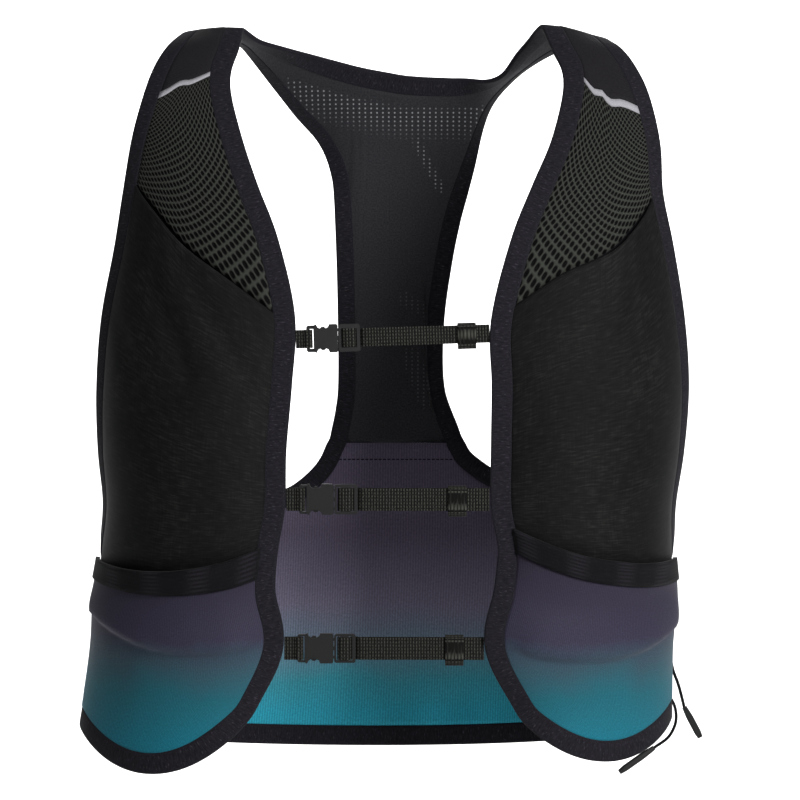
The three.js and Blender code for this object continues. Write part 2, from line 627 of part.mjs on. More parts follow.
function tape(samples, width, away) {
  const n = averaged(samples, "n", 2).map((v) => v.normalize());
  const count = samples.length;
  const along = samples.map((c, i) =>
    samples[(i + 1) % count].p.clone().sub(samples.at(i - 1).p).normalize());
  const across = along.map((t, i) => ({ out: t.cross(n[i]).normalize() }));
  const out = averaged(across, "out", 1).map((v) => v.normalize());
  const sign = Math.sign(out[0].dot(away));
  const heights = samples.map((c) => ({ stack: new THREE.Vector3(c.stack, 0, 0) }));
  const stacks = averaged(heights, "stack", 3).map((v) => v.x);
  const rings = samples.map((c, i) => {
    const lo = -TAPE_STAND;
    const hi = stacks[i] + TAPE_STAND;
    const far = TAPE_GAP + width;
    const flatTo = far - TAPE_ROUND;
    return [
      [TAPE_GAP, lo], [flatTo, lo], [far, lo + TAPE_ROUND],
      [far, hi - TAPE_ROUND], [flatTo, hi], [TAPE_GAP, hi],
    ].map(([w, h]) => add(add(c.p, out[i], sign * w), n[i], h));
  });
  return facingOut(swept(rings, true));
}

const edgeLoop = [
  ...YOKE_COLUMN_PLACES.map((u) => yokeSample(u, 0)),
  ...LINING_ROWS.slice(1).map((s) => frontSample(FRONTS.l, s, 0)),
  ...LINING_COLUMNS.slice(1).map((a) => frontSample(FRONTS.l, HEM_ROW, a)),
  ...BACK_COLUMN_PLACES.toReversed().slice(1, -1).map((u) => backSample(u, 1)),
  ...LINING_COLUMNS.toReversed().map((a) => frontSample(FRONTS.r, HEM_ROW, a)),
  ...LINING_ROWS.toReversed().slice(1, -1).map((s) => frontSample(FRONTS.r, s, 0)),
];
put("edge_binding", tape(edgeLoop, EDGE_TAPE_WIDTH, new THREE.Vector3(1, 0, 0)), LOOKS.tape);

const armRows = LINING_ROWS.filter((s) => s <= SEAM_ROW);
const armLoopR = [
  ...armRows.map((s) => frontSample(FRONTS.r, s, 1)),
  ...BACK_COLUMN_PLACES.filter((u) => u <= BACK_SPINE_R).slice(1).map((u) => backSample(u, 0)),
  ...YOKE_COLUMN_PLACES.filter((u) => u < SPINE_R).toReversed().slice(0, -1).map((u) => yokeSample(u, 1)),
];
put("armhole_binding_r", tape(armLoopR, ARM_TAPE_WIDTH, new THREE.Vector3(-1, 0, 0)), LOOKS.tape);
const armLoopL = [
  ...armRows.map((s) => frontSample(FRONTS.l, s, 1)),
  ...BACK_COLUMN_PLACES.filter((u) => u >= BACK_SPINE_L).toReversed().slice(1).map((u) => backSample(u, 0)),
  ...YOKE_COLUMN_PLACES.filter((u) => u > SPINE_L).slice(0, -1).map((u) => yokeSample(u, 1)),
];
put("armhole_binding_l", tape(armLoopL, ARM_TAPE_WIDTH, new THREE.Vector3(1, 0, 0)), LOOKS.tape);

// Chest straps, each in its own frame: x from the wearer's right to the left, y towards the body, z up.
const WEBBING = 1.4;
const FREE = 0.4; // clearance between webbing, buckle and keeper
const LAYERS_APART = 0.9; // each layer of a doubled tab from its middle line
const BEND = 2; // length over which webbing rises to go over a bar
const THROUGH = 1.2; // where webbing turns inside a slot
const PAST_BAR = 0.2; // how far it runs on level beside a bar
const BAR = 2.2; // the bars that webbing goes round
const SLOT = 2.4;
const FRAME_THICK = 3; // the buckle's ends
const FRAME_ROUND = 1.5;
const SHELL_THICK = 5.6; // the buckle's receiving half
const SHELL_ROUND = 1.2;
const SHELL_WALL = 1.1;
const SHELL_OVER = 0.5; // the shell over the frame, above and below
const SHELL_END = 2.5; // solid end of the shell beside the tab's slot
const WINDOW_FROM = 1.6; // the scooped side windows of the receiving half, along it
const WINDOW_LONG = 8.4;
const WINDOW_DEEP = 3.2;
const WINDOW_SEGMENTS = 5;
const PRONG_THICK = 2.4;
const PRONG_WIDE = 1.9;
const MIDDLE_PRONG_WIDE = 2.6;
const HOOK_CLEAR = 1.5; // between a prong's hook and the ends of its window
const HOOK_UNDER = 1.4; // how far a hook stays inside the receiving half's outline
const MALE_WALL = 1.4; // the inserting half's wall beside the joint
const MALE_UNDER = 0.3; // how far the inserting half stays under the other's height, above and below
const KEEPER_WALL = 1.1;
const KEEPER_ROUND = 0.6;
const BUCKLE_JOINT = 0.6; // the light line between the two halves
const CUT_PAST = 1; // how far a cutting box runs on past what it cuts
// Where each strap starts and ends (rows of the fronts), then mm: webbing width, tab, halves of the buckle,
// its height, the keeper's distance from the strap's left end, its length, and how far both ends of the strap
// stay from the line of the tape's free side, which curves in beside the upper strap.
const STRAP_COLUMNS = ["rowR", "rowL", "width", "tab", "female", "male", "high", "keeperAt", "keeper", "gap"];
const STRAPS = {
  upper: [7.31, 7.18, 12, 7, 20.5, 14, 18.5, 9, 12, -0.1],
  middle: [9.86, 9.84, 15, 8.2, 22.5, 15, 20, 15, 12, 0.5],
  lower: [13.0, 13.0, 15, 8.6, 23.5, 14, 19.5, 13.5, 12, 0.6],
};

function solidFrom(geometry) {
  geometry.deleteAttribute("normal");
  geometry.deleteAttribute("uv");
  const merged = mergeVertices(geometry, NEAR);
  const vertProperties = merged.getAttribute("position").array;
  const triVerts = new Uint32Array(merged.getIndex().array);
  return new Manifold(new wasm.Mesh({ numProp: 3, vertProperties, triVerts }));
}
const box = (x0, x1, y0, y1, z0, z1) => {
  const block = new THREE.BoxGeometry(x1 - x0, y1 - y0, z1 - z0);
  return solidFrom(block.translate((x0 + x1) / 2, (y0 + y1) / 2, (z0 + z1) / 2));
};
const CORNER_SEGMENTS = 2;
// A plate with round corners, from x0 to x1, as high in z and as thick in y as given, about y = z = 0.
function plate(x0, x1, high, thick, round) {
  const top = high / 2 - round;
  const quarter = Math.PI / 2;
  const shape = new THREE.Shape();
  shape.absarc(x1 - round, -top, round, -quarter, 0, false);
  shape.absarc(x1 - round, top, round, 0, quarter, false);
  shape.absarc(x0 + round, top, round, quarter, 2 * quarter, false);
  shape.absarc(x0 + round, -top, round, 2 * quarter, 3 * quarter, false);
  const extruded = new THREE.ExtrudeGeometry(shape, {
    depth: thick, bevelEnabled: false, curveSegments: CORNER_SEGMENTS,
  });
  return solidFrom(extruded.translate(0, 0, -thick / 2).rotateX(quarter));
}
// An oval plate from x0 to x1 that reaches as far above z as below it.
function oval(x0, x1, z, reach, thick) {
  const shape = new THREE.Shape();
  shape.absellipse((x0 + x1) / 2, z, (x1 - x0) / 2, reach, 0, 2 * Math.PI);
  const extruded = new THREE.ExtrudeGeometry(shape, {
    depth: thick, bevelEnabled: false, curveSegments: WINDOW_SEGMENTS,
  });
  return solidFrom(extruded.translate(0, 0, -thick / 2).rotateX(Math.PI / 2));
}
function geometryOf(solid) {
  const made = solid.getMesh();
  const geometry = new THREE.BufferGeometry();
  geometry.setAttribute("position", new THREE.BufferAttribute(Float32Array.from(made.vertProperties), 3));
  geometry.setIndex(Array.from(made.triVerts));
  return geometry;
}

// Webbing of one thickness bent along a line of (x, y) points, width wide in z.
function webbing(points, width) {
  const line = points.map(([x, y]) => new THREE.Vector2(x, y));
  const sides = line.map((p, i) => {
    const before = p.clone().sub(line[Math.max(i - 1, 0)]).normalize();
    const after = line[Math.min(i + 1, line.length - 1)].clone().sub(p).normalize();
    const a = i === 0 ? after : before;
    const b = i === line.length - 1 ? before : after;
    const normal = new THREE.Vector2(-(a.y + b.y), a.x + b.x).normalize();
    return normal.multiplyScalar(WEBBING / 2 / Math.max(normal.dot(new THREE.Vector2(-a.y, a.x)), 0.5));
  });
  const shape = new THREE.Shape([
    ...line.map((p, i) => p.clone().add(sides[i])), ...line.map((p, i) => p.clone().sub(sides[i])).reverse(),
  ]);
  return new THREE.ExtrudeGeometry(shape, { depth: width, bevelEnabled: false }).translate(0, 0, -width / 2);
}

// The middle of the edge tape's free side, level with a row of a front.
function besideTape(front, row) {
  const normal = front.normal(row, 0);
  const down = front.point(row + NEAR, 0).sub(front.point(row - NEAR, 0)).normalize();
  const out = down.cross(normal).normalize();
  const far = TAPE_GAP + EDGE_TAPE_WIDTH;
  return add(add(front.point(row, 0), out, far * -Math.sign(out.x * front.side)), normal, FRONT_STACK / 2);
}

const OVER = FRAME_THICK / 2 + FREE + WEBBING / 2; // webbing's middle where it goes round a bar
for (const [name, row] of Object.entries(STRAPS)) {
  const k = Object.fromEntries(STRAP_COLUMNS.map((key, i) => [key, row[i]]));
  const right = besideTape(FRONTS.r, k.rowR);
  const left = besideTape(FRONTS.l, k.rowL);
  const along = left.clone().sub(right).normalize();
  const start = add(right, along, k.gap);
  const length = right.distanceTo(left) - 2 * k.gap;
  const up = add(new THREE.Vector3(0, 0, 1), along, -along.z).normalize();
  const place = new THREE.Matrix4().makeBasis(along, up.clone().cross(along), up).setPosition(start);
  const putStrap = (part, geometry, look) => put(`${name}_${part}`, geometry.applyMatrix4(place), look);

  const tabBar = k.tab + BAR; // end of the bar that the tab goes round
  const turnAt = tabBar + SLOT / 2;
  const bendAt = k.tab - BEND;
  putStrap("strap_tab", webbing([
    [0, -LAYERS_APART], [bendAt, -LAYERS_APART], [k.tab - PAST_BAR, -OVER], [tabBar, -OVER],
    [turnAt, -THROUGH], [turnAt, THROUGH],
    [tabBar, OVER], [k.tab - PAST_BAR, OVER], [bendAt, LAYERS_APART], [0, LAYERS_APART],
  ], k.width), LOOKS.webbing);

  const slotHigh = k.width + 2 * FREE;
  const slotBox = (from) => box(from, from + SLOT, -SHELL_THICK, SHELL_THICK, -slotHigh / 2, slotHigh / 2);
  const shellFrom = tabBar + SLOT + FREE;
  const femaleEnd = k.tab + k.female;
  const windowFrom = shellFrom + WINDOW_FROM;
  const windowTo = windowFrom + WINDOW_LONG;
  const inner = k.high / 2 - SHELL_WALL;
  const hollow = SHELL_THICK / 2 - SHELL_WALL;
  const scoop = (edge) => oval(windowFrom, windowTo, edge, WINDOW_DEEP, 2 * SHELL_THICK);
  const female = plate(k.tab, femaleEnd - SHELL_END, k.high - 2 * SHELL_OVER, FRAME_THICK, FRAME_ROUND)
    .add(plate(shellFrom, femaleEnd, k.high, SHELL_THICK, SHELL_ROUND))
    .subtract(slotBox(tabBar))
    .subtract(box(shellFrom + SHELL_END, femaleEnd + CUT_PAST, -hollow, hollow, -inner, inner))
    .subtract(scoop(k.high / 2))
    .subtract(scoop(-k.high / 2));
  putStrap("buckle_female", geometryOf(female), LOOKS.buckle);

  const maleFrom = femaleEnd + BUCKLE_JOINT;
  const maleEnd = maleFrom + k.male;
  const slotTwo = maleEnd - BAR - SLOT; // beside the outer bar
  const slotOne = maleFrom + MALE_WALL;
  const barFrom = slotOne + SLOT; // the middle bar, which the webbing covers
  const thick = PRONG_THICK / 2;
  const hookFrom = windowFrom + HOOK_CLEAR;
  const prong = (z0, z1) => box(hookFrom, maleFrom + CUT_PAST, -thick, thick, z0, z1);
  const hook = (z) => oval(hookFrom, windowTo - HOOK_CLEAR, z, hookTo - armIn, PRONG_THICK);
  const armOut = inner - PRONG_WIDE;
  const armIn = armOut - PRONG_WIDE;
  const hookTo = k.high / 2 - HOOK_UNDER;
  const male = plate(maleFrom, maleEnd, k.high - 2 * MALE_UNDER, FRAME_THICK, FRAME_ROUND)
    .add(prong(-MIDDLE_PRONG_WIDE / 2, MIDDLE_PRONG_WIDE / 2))
    .add(prong(armIn, armOut))
    .add(prong(-armOut, -armIn))
    .add(hook(armIn))
    .add(hook(-armIn))
    .subtract(slotBox(slotTwo))
    .subtract(slotBox(slotOne));
  putStrap("buckle_male", geometryOf(male), LOOKS.buckle);

  const twoAt = slotTwo + SLOT / 2;
  const oneAt = slotOne + SLOT / 2;
  putStrap("strap", webbing([
    [length, 0], [maleEnd + BEND, 0], [maleEnd + PAST_BAR, OVER], [maleEnd - BAR, OVER],
    [twoAt, THROUGH], [twoAt, -THROUGH], [slotTwo, -OVER], [barFrom, -OVER],
    [oneAt, -THROUGH], [oneAt, OVER + WEBBING / 2],
  ], k.width), LOOKS.webbing);

  const hole = WEBBING / 2 + FREE;
  const holeHigh = k.width / 2 + FREE;
  const keeperFrom = length - k.keeperAt - k.keeper;
  const keeperTo = keeperFrom + k.keeper;
  const keeperHigh = 2 * (holeHigh + KEEPER_WALL);
  const keeper = plate(keeperFrom, keeperTo, keeperHigh, 2 * (hole + KEEPER_WALL), KEEPER_ROUND)
    .subtract(box(keeperFrom - CUT_PAST, keeperTo + CUT_PAST, -hole, hole, -holeHigh, holeHigh));
  putStrap("strap_keeper", geometryOf(keeper), LOOKS.webbing);
}

// Pull cords at the wearer's left hem. Each leaves the back panel at "from", its (u, v) there; the other
// points are shares of HALF_WIDTH, HALF_DEPTH and VEST_HEIGHT (drop).
const CORD_COLUMNS = ["x", "y", "drop"];
const PULL_CORDS = {
  side: {
    from: [0.98, 0.66],
    cord: [[0.972, 0.075, 0.884], [0.99, 0.05, 0.905], [1.007, 0.02, 0.933]],
    pull: [[1.0084, 0.018, 0.9348], [1.062, -0.02, 0.976]],
  },
  hem: {
    from: [0.94, 0.87],
    cord: [[0.99, 0.23, 0.945], [0.972, 0.2, 0.976], [0.915, 0.17, 0.994]],
    pull: [[0.9115, 0.169, 0.995], [0.79, 0.14, 1.028]],
  },
};
const CORD_STEPS = 6;
const PULL_STEPS = 6;
const cordPoint = (row) => {
  const c = Object.fromEntries(CORD_COLUMNS.map((key, i) => [key, row[i]]));
  return new THREE.Vector3(c.x * HALF_WIDTH, c.y * HALF_DEPTH, -c.drop * VEST_HEIGHT);
};
const CORD_LIFT = BACK_CLOTH + CORD_GAP + CORD_DIAMETER / 2;
const onPanel = ([u, v]) => add(back.point(u, v), back.normal(u, v), CORD_LIFT);
function cordAlong(curve) {
  const ring = steps(0, 2 * Math.PI, CORD_SIDES).slice(0, -1).map((angle) =>
    new THREE.Vector2(Math.cos(angle), Math.sin(angle)).multiplyScalar(CORD_DIAMETER / 2));
  const shape = new THREE.Shape(ring);
  return new THREE.ExtrudeGeometry(shape, { steps: CORD_STEPS, bevelEnabled: false, extrudePath: curve });
}
const PULL_WAIST = 0.72; // how thin the pull is where the cord enters it, a share of its width
const PULL_TIP = 0.75; // and at its free end
const PULL_SHOULDER = 1 / 3; // share of its length over which it grows to its full width
function pullFrom(start, end) {
  const long = start.distanceTo(end);
  const body = (t) => mix(PULL_WAIST, 1, smooth(t / PULL_SHOULDER));
  const wide = (t) => (PULL_DIAMETER / 2) * (t === 1 ? PULL_TIP : body(t));
  const profile = steps(0, 1, PULL_STEPS).map((t) => new THREE.Vector2(wide(t), long * t));
  profile.unshift(new THREE.Vector2(0, 0));
  profile.push(new THREE.Vector2(0, long));
  const way = end.clone().sub(start).normalize();
  const turn = new THREE.Quaternion().setFromUnitVectors(new THREE.Vector3(0, 1, 0), way);
  const turned = new THREE.LatheGeometry(profile, CORD_SIDES).applyQuaternion(turn);
  return turned.translate(start.x, start.y, start.z);
}
for (const [name, lines] of Object.entries(PULL_CORDS)) {
  const path = new THREE.CatmullRomCurve3([onPanel(lines.from), ...lines.cord.map(cordPoint)]);
  put(name + "_pull_cord", cordAlong(path), LOOKS.cord);
  put(name + "_pull_end", pullFrom(...lines.pull.map(cordPoint)), LOOKS.buckle);
}

export default vest;
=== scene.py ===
# %% [markdown]
# # A running hydration vest
# The vest is drawn as it sits on a body: two fronts with pockets, a slim yoke over the shoulders and down
# the spine, and a soft panel round the waist. Everything hangs from the shoulders, so the origin lies
# midway between the two shoulder crests. +Z is up, -Y is out of the chest, and right (_r) is the wearer's
# right, -X.

# %% Start from the measured frame
import bpy
import bmesh
import functools
import math
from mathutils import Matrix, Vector


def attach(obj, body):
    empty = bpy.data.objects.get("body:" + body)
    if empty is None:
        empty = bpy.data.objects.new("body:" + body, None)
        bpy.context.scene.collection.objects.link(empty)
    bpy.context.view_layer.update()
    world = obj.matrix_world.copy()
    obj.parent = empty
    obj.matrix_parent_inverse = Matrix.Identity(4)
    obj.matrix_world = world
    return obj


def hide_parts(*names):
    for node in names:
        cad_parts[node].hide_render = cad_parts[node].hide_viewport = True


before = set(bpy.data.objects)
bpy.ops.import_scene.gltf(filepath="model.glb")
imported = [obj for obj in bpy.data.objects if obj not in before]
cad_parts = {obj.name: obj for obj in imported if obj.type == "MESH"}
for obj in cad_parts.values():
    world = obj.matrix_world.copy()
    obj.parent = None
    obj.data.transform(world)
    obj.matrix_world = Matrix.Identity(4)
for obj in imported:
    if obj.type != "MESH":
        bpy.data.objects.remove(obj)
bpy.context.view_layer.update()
MM = 0.001

# %% [markdown]
# ## Sizes
# Cloth patterns are easier to think of as shares of a few overall sizes than as loose numbers. These are
# the same sizes as the solids have, so that each soft piece lies where its solid lies.

# %% Named sizes
VEST_HEIGHT = 500 * MM
HALF_WIDTH = 200 * MM
HALF_DEPTH = 110 * MM
LINING_CLOTH = 1.2 * MM
FRONT_CLOTH = 1.2 * MM
YOKE_CLOTH = 2.4 * MM
BACK_CLOTH = 1.8 * MM
LAYER_GAP = 0.4 * MM
EDGE_TAPE_WIDTH = 12.5 * MM
ARM_TAPE_WIDTH = 11 * MM
TAPE_GAP = 0.8 * MM
TAPE_STAND = 0.6 * MM
STRIP_WIDTH_ROWS = 0.17
BOTTLE_PUFF = 14 * MM
BOTTLE_MOUTH_SHARE = 0.5
LOWER_PUFF = 8 * MM
BAND_STAND = 1.6 * MM
RIDGE_HEIGHT = 5 * MM
RIDGE_HANG_ROWS = 0.9
RIDGE_FALL_ROWS = 0.14
CORD_DIAMETER = 2.2 * MM
CORD_GAP = 0.2 * MM
WEBBING = 1.4 * MM

# %% [markdown]
# ## The fronts as a table
# Each row is a section of a front from the shoulder crest (row 0) to the hem (row 14). The first three
# columns are the edge beside the neck and the chest opening, the next three the edge beside the armhole
# and the side seam, as shares of half the width, the height and half the depth. turn is how far the
# section turns towards the side in degrees, and sag is how far its middle hangs.

# %% Sections of the fronts
FRONT_COLUMNS = ["ix", "id", "iy", "ox", "od", "oy", "turn", "sag"]
FRONT_R = [
    [0.574, 0.002, 0.045, 0.666, 0.004, 0.109, 20, 0],
    [0.585, 0.032, -0.145, 0.71, 0.03, -0.091, 25, 0],
    [0.607, 0.065, -0.273, 0.749, 0.061, -0.218, 32, 0],
    [0.603, 0.106, -0.409, 0.78, 0.102, -0.345, 40, 0],
    [0.556, 0.176, -0.582, 0.82, 0.163, -0.436, 48, 0],
    [0.499, 0.241, -0.718, 0.851, 0.235, -0.491, 54, 0],
    [0.434, 0.308, -0.818, 0.884, 0.311, -0.491, 58, 0],
    [0.379, 0.405, -0.9, 0.933, 0.405, -0.445, 60, 0],
    [0.388, 0.491, -0.955, 0.957, 0.499, -0.382, 62, 0],
    [0.406, 0.577, -0.982, 0.962, 0.581, -0.3, 66, 0.003],
    [0.41, 0.649, -0.982, 0.954, 0.655, -0.218, 70, 0.01],
    [0.433, 0.704, -0.964, 0.985, 0.728, 0.0, 78, 0.018],
    [0.443, 0.763, -0.936, 1.006, 0.776, 0.0, 80, 0.024],
    [0.418, 0.832, -0.9, 1.016, 0.849, 0.0, 80, 0.034],
    [0.509, 0.911, -0.836, 1.044, 0.933, 0.0, 80, 0.058],
]
FRONT_L = [
    [0.578, 0.0, 0.045, 0.69, 0.011, 0.109, 20, 0],
    [0.616, 0.036, -0.145, 0.734, 0.034, -0.091, 25, 0],
    [0.643, 0.065, -0.273, 0.777, 0.063, -0.218, 32, 0],
    [0.641, 0.106, -0.409, 0.816, 0.104, -0.345, 40, 0],
    [0.595, 0.176, -0.582, 0.852, 0.168, -0.436, 48, 0],
    [0.525, 0.241, -0.718, 0.863, 0.235, -0.491, 54, 0],
    [0.456, 0.31, -0.818, 0.903, 0.311, -0.491, 58, 0],
    [0.392, 0.411, -0.9, 0.945, 0.407, -0.445, 60, 0],
    [0.394, 0.492, -0.955, 0.966, 0.496, -0.382, 62, 0],
    [0.391, 0.577, -0.982, 0.96, 0.58, -0.3, 66, 0.003],
    [0.391, 0.651, -0.982, 0.94, 0.657, -0.218, 70, 0.008],
    [0.414, 0.704, -0.964, 0.951, 0.728, 0.0, 78, 0.012],
    [0.401, 0.763, -0.936, 0.962, 0.776, 0.0, 80, 0.022],
    [0.373, 0.832, -0.9, 0.948, 0.849, 0.0, 80, 0.032],
    [0.476, 0.914, -0.836, 0.945, 0.921, 0.0, 80, 0.046],
]
SEAM_ROW = 11
HEM_ROW = 14
LINES_R = {
    "strip": [[0, 2.25], [0.5, 2.75], [1, 3.05]],
    "mouth": [[0, 6.95], [0.25, 6.5], [0.53, 6.0], [0.78, 5.33], [1, 4.85]],
    "bandTop": [[0, 11.0], [0.5, 11.05], [1, 11.02]],
    "bandFoot": [[0, 11.7], [0.5, 11.57], [1, 11.6]],
    "ridge": [[0, 12.8], [0.3, 12.62], [0.5, 12.5], [0.84, 12.27], [1, 12.2]],
}
LINES_L = {
    "strip": [[0, 2.45], [0.5, 3.0], [1, 3.35]],
    "mouth": [[0, 6.8], [0.25, 6.42], [0.58, 6.08], [0.8, 5.6], [1, 5.1]],
    "bandTop": [[0, 10.5], [0.3, 10.8], [0.55, 10.88], [1, 11.02]],
    "bandFoot": [[0, 11.1], [0.3, 11.3], [0.53, 11.4], [1, 11.65]],
    "ridge": [[0, 12.9], [0.36, 12.7], [0.67, 12.59], [0.82, 12.51], [1, 12.38]],
}
BOTTLE_FOOT_ROW = 12.1
FOLDS_R = [
    [0.78, 0.34, 0.64, 0.48, 7, 2.6],
    [0.67, 0.34, 0.47, 0.48, 7, 2.2],
    [0.92, 0.39, 0.8, 0.48, 6, 1.8],
]
FOLDS_L = [
    [0.87, 0.26, 0.76, 0.4, 6, 1.8],
    [0.46, 0.65, 0.44, 0.69, 6, 1.6],
]

# %% [markdown]
# ## The yoke and the back as tables
# The yoke is read from its edge beside the neck to its edge down the spine; u runs from the right
# shoulder to the left one. The back panel hangs from a top edge that climbs to the spine.

# %% Edges of the yoke and the back panel
YOKE_COLUMNS = ["u", "x", "drop", "y"]
NECK = [
    [0, -0.574, 0.002, 0.045], [0.06, -0.504, 0.013, 0.255], [0.14, -0.365, 0.036, 0.427],
    [0.2, -0.26, 0.05, 0.51], [0.26, -0.15, 0.062, 0.572], [0.32, -0.09, 0.067, 0.594],
    [0.41, -0.03, 0.071, 0.61], [0.5, 0.03, 0.075, 0.62], [0.59, 0.09, 0.077, 0.625],
    [0.68, 0.15, 0.078, 0.626], [0.75, 0.24, 0.078, 0.62], [0.81, 0.34, 0.071, 0.585],
    [0.87, 0.425, 0.052, 0.51], [0.91, 0.472, 0.032, 0.42], [0.96, 0.536, 0.012, 0.273],
    [1, 0.578, 0.0, 0.045],
]
ARM = [
    [0, -0.666, 0.004, 0.109], [0.05, -0.532, 0.01, 0.364], [0.09, -0.469, 0.029, 0.5],
    [0.14, -0.384, 0.064, 0.655], [0.18, -0.307, 0.098, 0.764], [0.22, -0.233, 0.128, 0.836],
    [0.25, -0.183, 0.163, 0.882], [0.28, -0.155, 0.205, 0.918], [0.31, -0.144, 0.288, 0.945],
    [0.345, -0.137, 0.4, 0.955], [0.38, -0.137, 0.5, 0.955], [0.41, -0.166, 0.574, 0.955],
    [0.59, 0.196, 0.574, 0.955], [0.62, 0.134, 0.5, 0.955], [0.655, 0.131, 0.4, 0.955],
    [0.69, 0.163, 0.305, 0.95], [0.72, 0.196, 0.243, 0.935], [0.76, 0.261, 0.167, 0.9],
    [0.8, 0.328, 0.098, 0.818], [0.84, 0.395, 0.065, 0.736], [0.88, 0.474, 0.04, 0.618],
    [0.92, 0.542, 0.023, 0.491], [0.96, 0.619, 0.01, 0.364], [1, 0.69, 0.011, 0.109],
]
SPINE_R = 0.41
SPINE_L = 0.59
SPINE_COLUMNS = ["drop", "y"]
SPINE = [
    [-0.01, 0.36], [0.03, 0.5], [0.07, 0.615], [0.11, 0.735], [0.16, 0.85], [0.22, 0.915],
    [0.3, 0.945], [0.42, 0.955], [0.58, 0.955],
]
SPINE_FLARE = 8
FLARE_REACH = 0.03
BACK_COLUMNS = ["x", "drop"]
BACK_TOP = [
    [-0.985, 0.728], [-0.947, 0.722], [-0.834, 0.71], [-0.586, 0.688], [-0.402, 0.668],
    [-0.331, 0.656], [-0.256, 0.632], [-0.206, 0.607], [-0.166, 0.574], [0.196, 0.574],
    [0.232, 0.599], [0.286, 0.618], [0.351, 0.635], [0.552, 0.67], [0.8, 0.705],
    [0.9125, 0.722], [0.951, 0.728],
]
BACK_DEPTH = 0.955
BACK_HEM_DEPTH = 0.93
BACK_HEM_DROP = 0.985
BACK_SQUARE = 0.8
SEAM_REACH = 0.125


# %% [markdown]
# ## Reading a table smoothly
# A smooth curve through the rows of a table, as a flexible ruler bent round pins would lie, gives the edges
# their soft run. The same reading serves every column.

# %% Small helpers
def mix(a, b, t):
    return a + (b - a) * t


def clamp(t, lo, hi):
    return min(hi, max(lo, t))


def smooth(t):
    c = clamp(t, 0, 1)
    return c * c * (3 - 2 * c)


def steps(start, end, count):
    return [mix(start, end, i / count) for i in range(count + 1)]


class Table:
    def __init__(self, rows, columns, key=None):
        self.knots = [r[columns.index(key)] for r in rows] if key else list(range(len(rows)))
        self.values = {name: [r[i] for r in rows] for i, name in enumerate(columns)}

    def slope(self, ys, i):
        a = max(i - 1, 0)
        b = min(i + 1, len(ys) - 1)
        return (ys[b] - ys[a]) / (self.knots[b] - self.knots[a])

    def read(self, name, x):
        ys = self.values[name]
        k = 0
        while k < len(ys) - 2 and x > self.knots[k + 1]:
            k += 1
        span = self.knots[k + 1] - self.knots[k]
        t = (x - self.knots[k]) / span
        rise = self.slope(ys, k) * span
        leave = self.slope(ys, k + 1) * span
        start = (2 * t ** 3 - 3 * t ** 2 + 1) * ys[k] + (t ** 3 - 2 * t ** 2 + t) * rise
        return start + (3 * t ** 2 - 2 * t ** 3) * ys[k + 1] + (t ** 3 - t ** 2) * leave


# %% [markdown]
# ## Three cloth surfaces
# A front wraps round the chest and turns back to the side seam, the yoke lies over the shoulder blades,
# and the back panel goes round the waist. Each is a function of two numbers, so that every layer of cloth
# on it can be laid from the same place.

# %% The fronts
class Front:
    def __init__(self, side, rows, lines, folds):
        self.side = side
        self.upper = Table(rows[:SEAM_ROW + 1], FRONT_COLUMNS)
        self.seam = Table(rows[SEAM_ROW:], FRONT_COLUMNS)
        self.whole = Table(rows, FRONT_COLUMNS)
        self.lines = {name: Table(line, ["across", "row"], "across") for name, line in lines.items()}
        self.folds = folds

    def outer(self, name, s):
        return self.upper.read(name, s) if s <= SEAM_ROW else self.seam.read(name, s - SEAM_ROW)

    def point(self, s, across):
        whole = self.whole.read
        turn = math.radians(whole("turn", s))
        angle = math.asin(clamp(across * math.sin(turn), -1, 1))
        back = (1 - math.cos(angle)) / (1 - math.cos(turn))
        sag = whole("sag", s) * 4 * across * (1 - across)
        return Vector((
            self.side * HALF_WIDTH * mix(whole("ix", s), self.outer("ox", s), across),
            HALF_DEPTH * mix(whole("iy", s), self.outer("oy", s), back),
            -VEST_HEIGHT * (mix(whole("id", s), self.outer("od", s), across) + sag),
        ))

    def line(self, name, across):
        return self.lines[name].read("row", across)


FRONTS = {"r": Front(-1, FRONT_R, LINES_R, FOLDS_R), "l": Front(1, FRONT_L, LINES_L, FOLDS_L)}
print("left front, middle of row 7:", FRONTS["l"].point(7, 0.5))

# %% The yoke
spine_table = Table(SPINE, SPINE_COLUMNS, "drop")
neck_table = Table(NECK, YOKE_COLUMNS, "u")
arm_r = Table([row for row in ARM if row[0] <= SPINE_R], YOKE_COLUMNS, "u")
arm_l = Table([row for row in ARM if row[0] >= SPINE_L], YOKE_COLUMNS, "u")


def arm_at(name, u):
    if u <= SPINE_R:
        return arm_r.read(name, u)
    if u >= SPINE_L:
        return arm_l.read(name, u)
    share = (u - SPINE_R) / (SPINE_L - SPINE_R)
    return mix(arm_r.read(name, SPINE_R), arm_l.read(name, SPINE_L), share)


def yoke_point(u, v):
    beside = max(SPINE_R - u, u - SPINE_L, 0) / FLARE_REACH
    late = mix(SPINE_FLARE, 1, smooth(beside))
    neck_drop = neck_table.read("drop", u)
    drop = mix(neck_drop, arm_at("drop", u), v)
    from_neck = neck_table.read("y", u) - spine_table.read("y", neck_drop)
    from_arm = arm_at("y", u) - spine_table.read("y", arm_at("drop", u))
    return Vector((
        HALF_WIDTH * mix(neck_table.read("x", u), arm_at("x", u), max(v, 0) ** late),
        HALF_DEPTH * (spine_table.read("y", drop) + mix(from_neck, from_arm, v)),
        -VEST_HEIGHT * drop,
    ))


